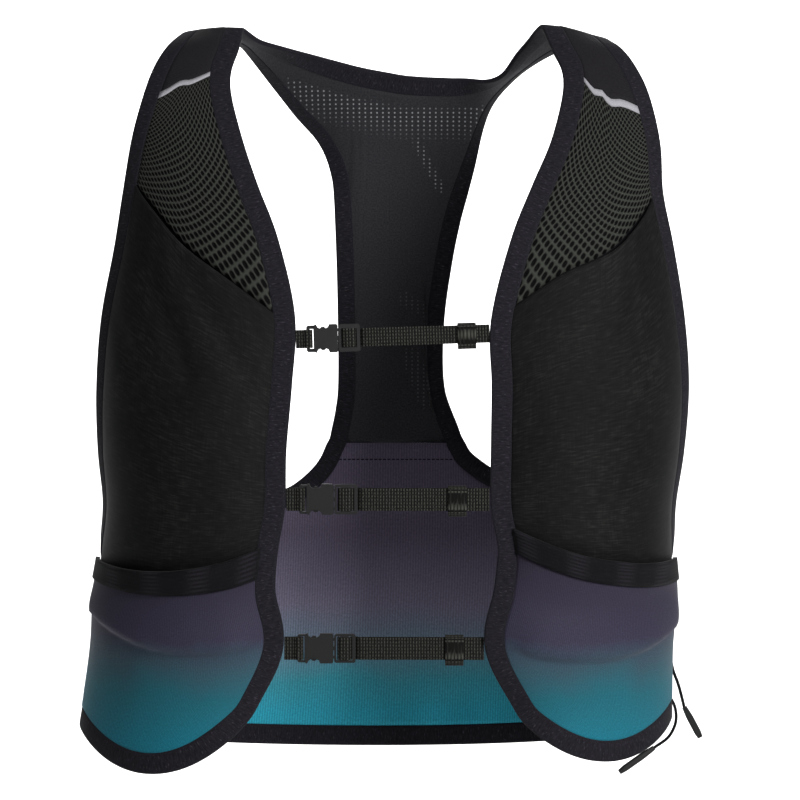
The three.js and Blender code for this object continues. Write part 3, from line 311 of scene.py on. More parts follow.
YOKE_PLACES = [
    0, 0.03, 0.06, 0.09, 0.115, 0.14, 0.16, 0.18, 0.2, 0.22, 0.24, 0.26, 0.28, 0.31, 0.345, 0.38, 0.396,
    SPINE_R, 0.44, 0.47, 0.5, 0.53, 0.56, SPINE_L, 0.62, 0.655, 0.69, 0.72, 0.74, 0.76, 0.78, 0.8, 0.82,
    0.84, 0.86, 0.88, 0.92, 0.96, 1,
]


@functools.lru_cache(maxsize=None)
def yoke_column(k, v):
    return yoke_point(YOKE_PLACES[k], v)


def yoke_sheet(u, v):
    """The yoke between a few of its columns, so that it flares at the spine's foot without a fold."""
    last = len(YOKE_PLACES) - 1
    k = 0
    while k < last - 1 and u > YOKE_PLACES[k + 1]:
        k += 1
    span = YOKE_PLACES[k + 1] - YOKE_PLACES[k]
    t = (u - YOKE_PLACES[k]) / span
    here, there = yoke_column(k, v), yoke_column(k + 1, v)
    before, after = max(k - 1, 0), min(k + 2, last)
    rise = (there - yoke_column(before, v)) * (span / (YOKE_PLACES[k + 1] - YOKE_PLACES[before]))
    leave = (yoke_column(after, v) - here) * (span / (YOKE_PLACES[after] - YOKE_PLACES[k]))
    start = here * (2 * t ** 3 - 3 * t ** 2 + 1) + rise * (t ** 3 - 2 * t ** 2 + t)
    return start + there * (3 * t ** 2 - 2 * t ** 3) + leave * (t ** 3 - t ** 2)


# %% The back panel
back_table = Table(BACK_TOP, BACK_COLUMNS, "x")
FOOT_R = arm_at("x", SPINE_R)
FOOT_L = arm_at("x", SPINE_L)
SIDE_R = FRONTS["r"].point(SEAM_ROW, 1).x
SIDE_L = FRONTS["l"].point(SEAM_ROW, 1).x


def round_at(x):
    return math.acos(1 - 2 * (x * HALF_WIDTH - SIDE_R) / (SIDE_L - SIDE_R)) / math.pi


BACK_SPINE_R = round_at(FOOT_R)
BACK_SPINE_L = round_at(FOOT_L)


def back_point(u, v):
    row = mix(SEAM_ROW, HEM_ROW, v)
    right = FRONTS["r"].point(row, 1)
    left = FRONTS["l"].point(row, 1)
    share = (1 - math.cos(math.pi * u)) / 2
    out = max(math.sin(math.pi * u), 0) ** BACK_SQUARE
    seam_top = -mix(FRONTS["r"].point(SEAM_ROW, 1).z, FRONTS["l"].point(SEAM_ROW, 1).z, share)
    seam_hem = -mix(FRONTS["r"].point(HEM_ROW, 1).z, FRONTS["l"].point(HEM_ROW, 1).z, share)
    x = mix(SIDE_R, SIDE_L, share) / HALF_WIDTH
    beside_spine = FOOT_R < x < FOOT_L
    top_drop = arm_at("drop", SPINE_R) if beside_spine else back_table.read("drop", x)
    top = mix(seam_top, VEST_HEIGHT * top_drop, smooth(min(u, 1 - u) / SEAM_REACH))
    hem = mix(seam_hem, VEST_HEIGHT * BACK_HEM_DROP, out)
    depth = HALF_DEPTH * mix(BACK_DEPTH, BACK_HEM_DEPTH, v) * out
    return Vector((mix(right.x, left.x, share), mix(right.y, left.y, share) + depth, -mix(top, hem, v)))


print("spine's foot at x", round(FOOT_R, 3), "to", round(FOOT_L, 3), "of half the width")


# %% [markdown]
# ## How far the pockets stand off
# A soft bottle fills the upper pocket, so it swells from its mouth and narrows to its foot, with a few
# slack folds. The lower pocket lies over its foot, and a rolled fold crosses it.

# %% Swell of the pockets
BOTTLE_EDGE = 0.8
LOWER_EDGE = 0.7
RISE_ROWS = 2.6
SETTLE_ROW = 10.4
LOWER_FULL_ROW = 12.2
SWELL_LEAD = 1.6
RIDGE_START = 0.2
RIDGE_END = 0.08


def beside_edges(across, power):
    return max(math.sin(math.pi * clamp(across, 0, 1)), 0) ** power


def fold_depth(front, p):
    x = abs(p.x)
    z = -p.z
    total = 0
    for x1, d1, x2, d2, half, deep in front.folds:
        ax, az, bx, bz = x1 * HALF_WIDTH, d1 * VEST_HEIGHT, x2 * HALF_WIDTH, d2 * VEST_HEIGHT
        t = ((x - ax) * (bx - ax) + (z - az) * (bz - az)) / ((bx - ax) ** 2 + (bz - az) ** 2)
        t = clamp(t, 0, 1)
        away = math.hypot(x - mix(ax, bx, t), z - mix(az, bz, t))
        total += deep * MM * math.exp(-(away / (half * MM)) ** 2)
    return total


def bottle_lift(front, s, across):
    rise = mix(BOTTLE_MOUTH_SHARE, 1, smooth((s - front.line("mouth", across)) / RISE_ROWS))
    fall = 1 - smooth((s - SETTLE_ROW) / (BOTTLE_FOOT_ROW - SETTLE_ROW))
    full = BOTTLE_PUFF * beside_edges(across, BOTTLE_EDGE) * rise * fall
    return max(full - fold_depth(front, front.point(s, across)) * min(full / BOTTLE_PUFF, 1), 0)


def ridge_lift(front, s, across):
    """The rolled fold: the cloth above it hangs out more and more, then turns in sharply."""
    below = s - front.line("ridge", across)
    hang = smooth(below / RIDGE_HANG_ROWS + 1) if below < 0 else 1 - smooth(below / RIDGE_FALL_ROWS)
    return RIDGE_HEIGHT * hang * smooth(across / RIDGE_START) * smooth((1 - across) / RIDGE_END)


def lower_lift(front, s, across):
    above = s - front.line("bandTop", across) + SWELL_LEAD
    swell = smooth(above / (LOWER_FULL_ROW - SEAM_ROW + SWELL_LEAD))
    swell *= 1 - smooth((s - LOWER_FULL_ROW) / (HEM_ROW - LOWER_FULL_ROW)) ** 2
    swelling = bottle_lift(front, s, across) + beside_edges(across, LOWER_EDGE) * LOWER_PUFF * swell
    return swelling + ridge_lift(front, s, across)


# %% [markdown]
# ## Colours and a helper for materials
# Colours are picked as sRGB hex values, the way a screen shows them, and turned to linear light for the
# shader.

# %% Colour and node helpers
def linear(code, alpha=1.0):
    parts = [int(code[i:i + 2], 16) / 255 for i in (0, 2, 4)]
    return [c / 12.92 if c <= 0.04045 else ((c + 0.055) / 1.055) ** 2.4 for c in parts] + [alpha]


def new_material(name):
    material = bpy.data.materials.new(name)
    material.use_nodes = True
    material.node_tree.nodes.clear()
    return material


def node(material, kind, links=None, **settings):
    tree = material.node_tree
    made = tree.nodes.new(kind)
    for key, value in settings.items():
        if key in made.inputs and not hasattr(made, key):
            made.inputs[key].default_value = value
        else:
            setattr(made, key, value)
    for socket, source in (links or {}).items():
        if isinstance(source, bpy.types.NodeSocket):
            tree.links.new(source, made.inputs[socket])
        else:
            made.inputs[socket].default_value = source
    return made


# %% [markdown]
# ## Woven and knitted cloth
# Threads are far finer than a render shows, so each weave is drawn as coarse as it needs to be seen.
# Along u and v the pattern follows the piece's own UV map, which is laid out in metres, and the up and
# down of the threads goes into a bump. A weak sheen stands for the fibres that catch light at the edges
# of a fold.

# %% Shader parts that the cloths share
GRAIN_SCALE = 850.0  # fibres about a millimetre apart
FULL_TURN = 2 * math.pi
THREAD_DEEP = 0.3 * MM
CLOTH_SHINE = 0.1  # well under a hard surface's 0.5, because fibres throw hardly a highlight
SHEEN_SPREAD = 0.4
WEAK_SHEEN = 0.02
TAPE_SHEEN = 0.04
SOFT_SHEEN = 0.05


def cloth_uv(material):
    return node(material, "ShaderNodeUVMap", uv_map="cloth").outputs["UV"]


def uv_pattern(material, across, along):
    links = {"Vector": cloth_uv(material), "Scale": (1 / across, 1 / along, 1)}
    return node(material, "ShaderNodeMapping", links).outputs["Vector"]


def split(material, vector):
    parts = node(material, "ShaderNodeSeparateXYZ", {"Vector": vector})
    return parts.outputs["X"], parts.outputs["Y"], parts.outputs["Z"]


def ramp(material, source, stops):
    made = node(material, "ShaderNodeValToRGB", {"Fac": source})
    elements = made.color_ramp.elements
    while len(elements) < len(stops):
        elements.new(0.5)
    for element, (place, colour) in zip(elements, stops):
        element.position = place
        element.color = colour
    return made.outputs["Color"]


def maths(material, operation, a, b=0.0):
    return node(material, "ShaderNodeMath", {0: a, 1: b}, operation=operation).outputs["Value"]


def added(material, parts):
    """The sum of (source, weight) parts."""
    total = 0.0
    for source, weight in parts:
        total = maths(material, "ADD", maths(material, "MULTIPLY", source, weight), total)
    return total


def noise(material, vector, scale, detail=3.0):
    settings = {"Vector": vector, "Scale": scale, "Detail": detail}
    return node(material, "ShaderNodeTexNoise", settings).outputs["Fac"]


def fibres(material):
    return noise(material, cloth_uv(material), GRAIN_SCALE)


def blend(material, factor, a, b, way="MIX"):
    made = node(material, "ShaderNodeMix", data_type="RGBA", blend_type=way)
    for socket, value in zip([s for s in made.inputs if s.enabled], (factor, a, b)):
        if isinstance(value, bpy.types.NodeSocket):
            material.node_tree.links.new(value, socket)
        else:
            socket.default_value = value
    return [s for s in made.outputs if s.enabled][0]


def cloth_output(material, colour, height, roughness, strength, distance, sheen=WEAK_SHEEN):
    bump = node(material, "ShaderNodeBump", {"Height": height, "Strength": strength, "Distance": distance})
    shader = node(material, "ShaderNodeBsdfPrincipled", {
        "Base Color": colour, "Roughness": roughness, "Normal": bump.outputs["Normal"],
        "Sheen Weight": sheen, "Sheen Roughness": SHEEN_SPREAD, "Specular IOR Level": CLOTH_SHINE,
    })
    node(material, "ShaderNodeOutputMaterial", {"Surface": shader.outputs["BSDF"]})
    return material


def waves(material, across, along):
    u, v, _ = split(material, uv_pattern(material, across, along))
    return [maths(material, "SINE", maths(material, "MULTIPLY", part, FULL_TURN)) for part in (u, v)]


# %% Knit lining and shoulder cloth
# A fine up and down with loose fibres on it takes the shine off, so the cloth reads soft and matt.
WEAVE_PART = 0.25
FLECK_PART = 0.7
BROAD_SCALE = 25.0  # paler and darker areas some centimetres wide


def plain_cloth(name, dark, light, pitch, roughness, strength):
    material = new_material(name)
    u, v = waves(material, pitch, pitch)
    fleck = added(material, [(maths(material, "MULTIPLY", u, v), WEAVE_PART), (fibres(material), 1.0)])
    broad = noise(material, cloth_uv(material), BROAD_SCALE)
    tone = added(material, [(fleck, FLECK_PART), (broad, 1 - FLECK_PART)])
    colour = ramp(material, tone, [(0.3, linear(dark)), (0.75, linear(light))])
    return cloth_output(material, colour, fleck, roughness, strength, THREAD_DEEP)


KNIT_PITCH = 1.6 * MM  # the real stitches are near 0.5 mm; drawn coarser so that they show
WOVEN_PITCH = 1.4 * MM  # the real threads are near 0.2 mm
LINING = plain_cloth("polyester knit lining", "121214", "202024", KNIT_PITCH, 0.85, 0.35)
CAP = plain_cloth("plain woven polyester", "19181a", "2b292d", WOVEN_PITCH, 0.7, 0.3)
print("materials so far:", [m.name for m in bpy.data.materials])

# %% [markdown]
# ## Ripstop, net and dyed knit
# The bottle pocket is a thin black ripstop whose weft has thicker places, the slubs. The chest panel is
# an open net, whose long holes read nearly black. The lower pockets and the waist are dipped in dye from
# plum to teal: each point of these pieces carries how deep it went into the dye, so that a rolled fold
# can hide a part of it.

# %% Ripstop of the bottle pockets
# Slubs are short light dashes along the weft. They break up the black and show which way the cloth was cut.
SLUB_LONG = 9 * MM
SLUB_HIGH = 1.3 * MM  # drawn at twice the real thickness
WEFT_PART = 0.75
MOTTLE_SCALE = 20.0  # areas some centimetres wide that took the dye a little better or worse


def ripstop(name):
    material = new_material(name)
    weft = noise(material, uv_pattern(material, SLUB_LONG, SLUB_HIGH), 1.0, 2.0)
    warp = noise(material, uv_pattern(material, SLUB_HIGH, 2 * SLUB_LONG), 1.0, 2.0)
    broad = noise(material, cloth_uv(material), MOTTLE_SCALE)
    height = added(material, [(weft, WEFT_PART), (warp, 1 - WEFT_PART)])
    tone = added(material, [(height, FLECK_PART), (broad, 1 - FLECK_PART)])
    stops = [(0.36, linear("101010")), (0.52, linear("181818")), (0.7, linear("2a2a29"))]
    return cloth_output(material, ramp(material, tone, stops), height, 0.7, 0.3, THREAD_DEEP)


RIPSTOP = ripstop("polyester ripstop weave")


# %% Open net of the chest panels
# The holes stand in offset rows, taller than wide, so the eye reads slanting threads with the dark
# between them.
NET_ACROSS = 4.1 * MM
NET_ALONG = 5.6 * MM
NET_FUZZ = 0.15
NET_DEEP = 0.8 * MM


def open_net(name):
    material = new_material(name)
    u, v, _ = split(material, uv_pattern(material, NET_ACROSS, NET_ALONG))
    slants = []
    for way in ("ADD", "SUBTRACT"):
        turn = maths(material, "MULTIPLY", maths(material, way, u, v), math.pi)
        slants.append(maths(material, "SINE", turn))
    depth = maths(material, "ABSOLUTE", maths(material, "MULTIPLY", slants[0], slants[1]))
    seen = added(material, [(depth, 1.0), (fibres(material), NET_FUZZ)])
    # The near-black stop colours the holes: the dark lining seen through them, deepened by painted shade in
    # the holes.
    stops = [(0.22, linear("3d3f3a")), (0.5, linear("262725")), (0.66, linear("040404"))]
    height = maths(material, "SUBTRACT", 1.0, depth)
    return cloth_output(material, ramp(material, seen, stops), height, 0.8, 0.7, NET_DEEP)


NET = open_net("warp-knit polyester net")


# %% Plum to teal knit of the waist
# A fine slanting knit with paler tips over the dye, so that the colour looks soft and a little dusty.
DYE_PITCH = 1.5 * MM  # the real knit is near 0.6 mm
DYE_STOPS = [(0.0, linear("3d3746")), (0.45, linear("464257")), (0.58, linear("476170")),
             (0.76, linear("2c7888")), (1.0, linear("26889e"))]
# The back lies in the vest's own shade, so its dye is drawn lighter than the same dye on the pockets.
BACK_DYE_STOPS = [(0.0, linear("6a6176")), (0.4, linear("8a849c")), (0.62, linear("8098ac")),
                  (0.82, linear("4cb4c8")), (1.0, linear("3cc0dc"))]
PATCH_SCALE = 22.0  # the dye rises unevenly, in patches some centimetres wide
PATCH_REACH = 0.16
KNIT_PART = 0.3
TIP_PART = 0.9
STITCH_HALF = 0.45 * MM
STITCH_LONG = 3.2 * MM
STITCH_SHARE = 0.7
BACK_STITCH_HEIGHT = -299 * MM


def hem_stitches(material, height):
    """1 on a broken line of stitches at one height, 0 elsewhere."""
    x, _, z = split(material, node(material, "ShaderNodeTexCoord").outputs["Object"])
    level = maths(material, "ABSOLUTE", maths(material, "SUBTRACT", z, height))
    on_line = maths(material, "LESS_THAN", level, STITCH_HALF)
    along = maths(material, "FRACT", maths(material, "DIVIDE", x, STITCH_LONG))
    return maths(material, "MULTIPLY", on_line, maths(material, "LESS_THAN", along, STITCH_SHARE))


def dipped_knit(name, stops, stitch_height):
    material = new_material(name)
    dye = node(material, "ShaderNodeAttribute", attribute_name="dye").outputs["Fac"]
    patches = maths(material, "SUBTRACT", noise(material, cloth_uv(material), PATCH_SCALE), 0.5)
    depth = added(material, [(dye, 1.0), (patches, PATCH_REACH)])
    colour = ramp(material, depth, stops)
    u, v, _ = split(material, uv_pattern(material, DYE_PITCH, DYE_PITCH))
    slant = maths(material, "SINE", maths(material, "MULTIPLY", maths(material, "ADD", u, v), FULL_TURN))
    rows = maths(material, "SINE", maths(material, "MULTIPLY", v, FULL_TURN))
    knit = maths(material, "MULTIPLY", slant, rows)
    height = added(material, [(knit, KNIT_PART), (fibres(material), TIP_PART)])
    tips = ramp(material, height, [(0.25, linear("c4c4c4")), (0.75, linear("ffffff"))])
    colour = blend(material, 1.0, colour, tips, "MULTIPLY")
    if stitch_height:
        colour = blend(material, hem_stitches(material, stitch_height), colour, linear("121116"))
    return cloth_output(material, colour, height, 0.65, 0.3, THREAD_DEEP, SOFT_SHEEN)


POCKET_KNIT = dipped_knit("dip-dyed polyester knit", DYE_STOPS, None)
BACK_KNIT = dipped_knit("dip-dyed polyester knit, hemmed", BACK_DYE_STOPS, BACK_STITCH_HEIGHT)

# %% [markdown]
# ## Tape, elastic, webbing and the punched yoke
# The tape is a soft folded knit with stray light fibres, the elastic has fine lengthwise ribs, and the
# webbing shows rows of light thread where it passes over the rubber.

# %% Binding tape
# Stray fibres stand out as light specks on the dark knit, which makes it look worn soft.
SPECK_SCALE = 1100.0
SPECK_FROM = 0.62
SPECK_SHARP = 5.0


def speckled(name, dark, light, speck, roughness):
    material = new_material(name)
    grain = fibres(material)
    points = noise(material, cloth_uv(material), SPECK_SCALE, 1.0)
    base = ramp(material, grain, [(0.3, linear(dark)), (0.72, linear(light))])
    seen = maths(material, "MULTIPLY", maths(material, "SUBTRACT", points, SPECK_FROM), SPECK_SHARP)
    share = node(material, "ShaderNodeClamp", {"Value": seen}).outputs["Result"]
    colour = blend(material, share, base, linear(speck))
    return cloth_output(material, colour, grain, roughness, 0.25, THREAD_DEEP, TAPE_SHEEN)


TAPE = speckled("folded knit binding tape", "19181c", "29272e", "4b4851", 0.85)


# %% Elastic, webbing and cord
# Ribs side by side catch the light in lines; where threads go under, the lines break up into dashes. The
# elastic reads as fine level ribs, the webbing as rows of light dashes, and the cord as a dark twist.
BAND_LONG = 40 * MM
BAND_RIB = 2.4 * MM
WEB_ROW = 1.9 * MM
WEB_DASH = 2.2 * MM
BRAID_PITCH = 1.5 * MM  # the real braid is near 0.7 mm; drawn coarser so that it shows
RIB_PART = 0.5
RIB_FUZZ = 0.7
RIB_DEEP = 0.4 * MM


def ribbed(name, dark, light, across, along, roughness, strength):
    material = new_material(name)
    u, v = waves(material, across, along)
    threads = maths(material, "MULTIPLY", u, maths(material, "ADD", maths(material, "MULTIPLY", v, 0.5), 0.5))
    height = added(material, [(threads, RIB_PART), (fibres(material), RIB_FUZZ)])
    colour = ramp(material, height, [(0.3, linear(dark)), (0.95, linear(light))])
    return cloth_output(material, colour, height, roughness, strength, RIB_DEEP)


ELASTIC = ribbed("ribbed knit elastic", "141316", "29272c", BAND_LONG, BAND_RIB, 0.85, 0.4)
STRAP = ribbed("ribbed elastic webbing", "131312", "55554f", WEB_ROW, WEB_DASH, 0.8, 0.6)
CORD_BRAID = ribbed("braided polyester cord", "101012", "2c2c30", BRAID_PITCH, BRAID_PITCH, 0.75, 0.5)

# %% Punched cloth of the yoke
# The holes show as light dots only where daylight comes through them, below the collar and in a few other
# spots, so each point of the yoke carries how much of it gets through there.
HOLE_ACROSS = 4.2 * MM
HOLE_ALONG = 2.9 * MM
HOLE_EDGE = 0.75 * MM
HOLE_CORE = 0.35 * MM


def punched(name):
    material = new_material(name)
    u, v, _ = split(material, uv_pattern(material, HOLE_ACROSS, HOLE_ALONG))
    squares = []
    for part, pitch in ((u, HOLE_ACROSS), (v, HOLE_ALONG)):
        off = maths(material, "SUBTRACT", maths(material, "FRACT", part), 0.5)
        off = maths(material, "MULTIPLY", off, pitch)
        squares.append(maths(material, "MULTIPLY", off, off))
    away = maths(material, "SQRT", maths(material, "ADD", squares[0], squares[1]))
    hole = node(material, "ShaderNodeMapRange", {
        "Value": away, "From Min": HOLE_EDGE, "From Max": HOLE_CORE, "To Min": 0.0, "To Max": 1.0,
    }).outputs["Result"]
    light = node(material, "ShaderNodeAttribute", attribute_name="light").outputs["Fac"]
    grain = fibres(material)
    base = ramp(material, grain, [(0.3, linear("2a2a2d")), (0.75, linear("3c3c40"))])
    colour = blend(material, maths(material, "MULTIPLY", hole, light), base, linear("a0a0a4"))
    height = added(material, [(grain, KNIT_PART), (hole, -2 * KNIT_PART)])
    return cloth_output(material, colour, height, 0.85, 0.3, THREAD_DEEP)


YOKE = punched("punched polyester knit")


# %% Reflective tape, moulded acetal and rubber
# Glass beads give the tape its even, pale grey. The acetal is satin with a slightly uneven gloss, so the
# buckles show soft highlights on their rims, and the rubber of the pulls is duller.
BEAD_SCALE = 1600.0  # the real beads are ten times finer; drawn coarser so that they show
GRAIN_FINE = 2500.0
WEAR_SCALE = 300.0
GLOSSIER = 0.06
DULLER = 0.08
BEAD_HIGH = 0.1 * MM
MOULD_GRAIN = 0.05 * MM
PLASTIC_IOR = 1.48


def reflective(name):
    material = new_material(name)
    links = {"Vector": cloth_uv(material), "Scale": BEAD_SCALE}
    beads = node(material, "ShaderNodeTexVoronoi", links).outputs["Distance"]
    colour = ramp(material, beads, [(0.1, linear("b9b8bd")), (0.8, linear("a5a4aa"))])
    return cloth_output(material, colour, beads, 0.5, 0.1, BEAD_HIGH)


def moulded(name, dark, light, roughness):
    material = new_material(name)
    place = node(material, "ShaderNodeTexCoord").outputs["Object"]
    grain = noise(material, place, GRAIN_FINE, 2.0)
    wear = noise(material, place, WEAR_SCALE)
    gloss = node(material, "ShaderNodeMapRange", {
        "Value": wear, "To Min": roughness - GLOSSIER, "To Max": roughness + DULLER,
    })
    bump = node(material, "ShaderNodeBump", {"Height": grain, "Strength": 0.12, "Distance": MOULD_GRAIN})
    shader = node(material, "ShaderNodeBsdfPrincipled", {
        "Base Color": ramp(material, grain, [(0.3, linear(dark)), (0.7, linear(light))]),
        "Roughness": gloss.outputs["Result"], "IOR": PLASTIC_IOR, "Normal": bump.outputs["Normal"],
    })
    node(material, "ShaderNodeOutputMaterial", {"Surface": shader.outputs["BSDF"]})
    return material


REFLECTIVE = reflective("glass-bead reflective tape")
ACETAL = moulded("moulded acetal", "101010", "1a1a1a", 0.45)
RUBBER = moulded("moulded rubber", "0e0e0e", "191919", 0.6)
print("materials:", [m.name for m in bpy.data.materials])


# %% [markdown]
# ## Laying a piece of cloth
# A flat grid is the natural start for a piece of cloth: every point of it is carried to its place on the
# body, as a tailor lays a cut piece on a form, then lifted off along its own normal where something fills
# it. The grid keeps its flat layout as a UV map in metres. A Solidify modifier gives it its thickness
# outwards.

# %% The cloth maker
CLOTH_CELL = 3.0 * MM
RIM = 0.35 * MM
DYE_TOP = -352 * MM
DYE_FOOT = -482 * MM


def finished(name, bm, material, nodes):
    mesh = bpy.data.meshes.new(name)
    for face in bm.faces:
        face.smooth = True
    bm.to_mesh(mesh)
    bm.free()
    made = in_scene(name, mesh)
    mesh.materials.append(material)
    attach(made, "root")
    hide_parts(*nodes)
    return made


def cloth_grid(columns, rows, place):
    bm = bmesh.new()
    bm.loops.layers.uv.new("cloth")
    bmesh.ops.create_grid(bm, x_segments=columns, y_segments=rows, size=0.5, calc_uvs=True)
    for vert in bm.verts:
        vert.co = place(vert.co.x + 0.5, vert.co.y + 0.5)
    bm.normal_update()
    return bm


def lay_uv(bm, wide, long):
    layer = bm.loops.layers.uv.verify()
    for face in bm.faces:
        for loop in face.loops:
            uv = loop[layer].uv
            loop[layer].uv = (uv.x * wide, uv.y * long)


def mark_dye(bm):
    """How deep each point of the cloth went into the dye, 0 at the plum end and 1 at the teal end."""
    layer = bm.verts.layers.float.new("dye")
    for vert in bm.verts:
        vert[layer] = clamp((DYE_TOP - vert.co.z) / (DYE_TOP - DYE_FOOT), 0, 1)


def face_outwards(bm, away):
    total = sum((face.normal.dot(away(face.calc_center_median())) for face in bm.faces), 0.0)
    if total < 0:
        bmesh.ops.reverse_faces(bm, faces=bm.faces[:])
        bm.normal_update()


def thicken(made, cloth, offset=1):
    shell = made.modifiers.new("thickness", "SOLIDIFY")
    shell.thickness = cloth
    shell.offset = offset
    return made


def soften_rims(part):
    rim = part.modifiers.new("soft rims", "BEVEL")
    rim.width = RIM
    rim.segments = 2
    rim.limit_method = "ANGLE"


def in_scene(name, data):
    made = bpy.data.objects.new(name, data)
    bpy.context.scene.collection.objects.link(made)
    return made


def from_middle(p):
    return Vector((p.x, p.y, 0))


print("cloth cells of about", CLOTH_CELL / MM, "mm")


# %% [markdown]
# ## Pieces of a front
# Each outer cloth of a front runs between two lines across it and stops a little inside its edges, where
# the tape takes over. The same maker lays the lining, the shoulder cloth, the strip, the net and the
# pockets.

# %% Maker of a front's pieces
def run(points):
    return sum((b - a).length for a, b in zip(points, points[1:]))


def front_cloth(name, front, top, foot, base, lift, cloth, material, node_names, cell=CLOTH_CELL):
    long = run([front.point(mix(top(0.5), foot(0.5), t), 0.5) for t in steps(0, 1, 8)])
    wide = run([front.point(mix(top(0.5), foot(0.5), 0.5), a) for a in steps(0, 1, 8)])
    columns = max(round(wide / cell), 4)
    rows = max(round(long / cell), 2)

    def place(across, t):
        return front.point(mix(top(across), foot(across), t), across)

    bm = cloth_grid(columns, rows, place)
    lay_uv(bm, wide, long)
    if material is POCKET_KNIT:
        mark_dye(bm)
    face_outwards(bm, from_middle)
    lifts = {}
    for vert in bm.verts:
        i, j = vert.index % (columns + 1), vert.index // (columns + 1)
        across, t = i / columns, j / rows
        lifts[vert] = base + lift(front, mix(top(across), foot(across), t), across)
    for vert, rise in lifts.items():
        vert.co += vert.normal * rise
    return thicken(finished(name, bm, material, node_names), cloth)


def flat(front, s, across):
    return 0.0


def on_line(front, key, shift=0.0):
    return lambda across: front.line(key, across) + shift


def on_row(s):
    return lambda across: s


def on_strip(front, shift):
    """The reflective strip's line, which lies in soft waves on the slack cloth."""
    wave = Table(STRIP_WAVES[front.side], ["across", "rows"], "across")
    return lambda across: front.line("strip", across) + wave.read("rows", across) + shift


BOTTLE_BASE = LINING_CLOTH + LAYER_GAP
LOWER_BASE = BOTTLE_BASE + FRONT_CLOTH + LAYER_GAP
STRIP_HALF = STRIP_WIDTH_ROWS / 2
STRIP_STAND = 0.2 * MM
STRIP_WAVES = {
    -1: [[0, 0], [0.42, -0.06], [0.62, -0.17], [0.85, -0.04], [1, 0]],
    1: [[0, 0], [0.22, 0.19], [0.38, 0.06], [0.5, 0.16], [0.72, 0.02], [1, 0]],
}
SMALL_ROW = 0.02

# %% Both fronts
LINING_CELL = 4 * MM
FINE_CELL = 2.5 * MM
for key, front in FRONTS.items():
    strip_top = on_strip(front, -STRIP_HALF)
    strip_foot = on_strip(front, STRIP_HALF)
    above_mouth = on_line(front, "mouth", -SMALL_ROW)
    band_top = on_line(front, "bandTop")
    band_foot = on_line(front, "bandFoot")
    hem = on_row(HEM_ROW)
    front_cloth("lining_" + key, front, on_row(0), hem, 0, flat, LINING_CLOTH, LINING,
                ["chest_lining_" + key, "waist_lining_" + key], LINING_CELL)
    front_cloth("shoulder_cloth_" + key, front, on_row(0), strip_top, BOTTLE_BASE, flat, FRONT_CLOTH, CAP,
                ["shoulder_cap_" + key])
    front_cloth("shine_strip_" + key, front, strip_top, strip_foot, BOTTLE_BASE + STRIP_STAND, flat,
                FRONT_CLOTH, REFLECTIVE, ["reflective_strip_" + key])
    front_cloth("net_" + key, front, strip_foot, above_mouth, BOTTLE_BASE, flat, FRONT_CLOTH, NET,
                ["mesh_panel_" + key])
    front_cloth("upper_pocket_" + key, front, on_line(front, "mouth"), on_row(BOTTLE_FOOT_ROW), BOTTLE_BASE,
                bottle_lift, FRONT_CLOTH, RIPSTOP, ["bottle_pocket_" + key], FINE_CELL)
    front_cloth("waist_pocket_" + key, front, on_line(front, "bandFoot", -SMALL_ROW), hem, LOWER_BASE,
                lower_lift, FRONT_CLOTH, POCKET_KNIT, ["lower_pocket_" + key], FINE_CELL)
    front_cloth("elastic_band_" + key, front, band_top, band_foot, LOWER_BASE, lower_lift,
                FRONT_CLOTH + BAND_STAND, ELASTIC, ["pocket_band_" + key])

# %% [markdown]
# ## Yoke and back panel
# The yoke is one cut of punched cloth that goes over both shoulders and down the spine. The back panel is
# the dyed knit that joins the two side seams.

# %% Yoke
YOKE_COLUMNS_DRAWN = 360
YOKE_ROWS_DRAWN = 60
LIT_FROM = 8 * MM  # below the collar's edge, where the cloth is single and daylight comes through
LIT_SOFT = 2 * MM
LIT_FULL = 16 * MM
LIT_TO = 34 * MM
LIT_HALF_WIDE = 78 * MM
LIT_FADE = 1.5
LIT_ROWS = [  # x, z to x, z of the other lit rows, half their width and how bright they are
    [18, -71, 35, -103, 2.2, 0.8],
    [9, -183, 25, -192, 4, 0.2],
    [14, -224, 25, -254, 6, 0.2],
]


def light_through(p, edge):
    below = edge.z - p.z
    collar = smooth((below - LIT_FROM) / LIT_SOFT) * (1 - smooth((below - LIT_FULL) / (LIT_TO - LIT_FULL)))
    collar *= smooth((LIT_HALF_WIDE - abs(p.x)) / LIT_FROM)
    lit = [collar if p.y > 0 else 0]
    for x1, z1, x2, z2, half, bright in LIT_ROWS:
        a, b = Vector((x1, z1)) * MM, Vector((x2, z2)) * MM
        spot = Vector((p.x, p.z))
        t = clamp((spot - a).dot(b - a) / (b - a).length_squared, 0, 1)
        away = (spot - a.lerp(b, t)).length / MM
        lit.append(bright * (1 - smooth((away - half) / LIT_FADE)))
    return max(lit)


bm = cloth_grid(YOKE_COLUMNS_DRAWN, YOKE_ROWS_DRAWN, yoke_sheet)
light = bm.verts.layers.float.new("light")
for vert in bm.verts:
    collar_edge = yoke_sheet(vert.index % (YOKE_COLUMNS_DRAWN + 1) / YOKE_COLUMNS_DRAWN, 0)
    vert[light] = light_through(vert.co, collar_edge)
layer = bm.loops.layers.uv.verify()
for face in bm.faces:
    for loop in face.loops:
        p = loop.vert.co
        loop[layer].uv = (p.x, p.z)
face_outwards(bm, lambda p: Vector((0, 1, 0)))
thicken(finished("yoke", bm, YOKE, ["back_yoke"]), YOKE_CLOTH)

# %% Back panel
BACK_COLUMNS_DRAWN = 240
BACK_ROWS_DRAWN = 40
BACK_WIDE = 480 * MM
BACK_LONG = 150 * MM
WRINKLE = 1.1 * MM


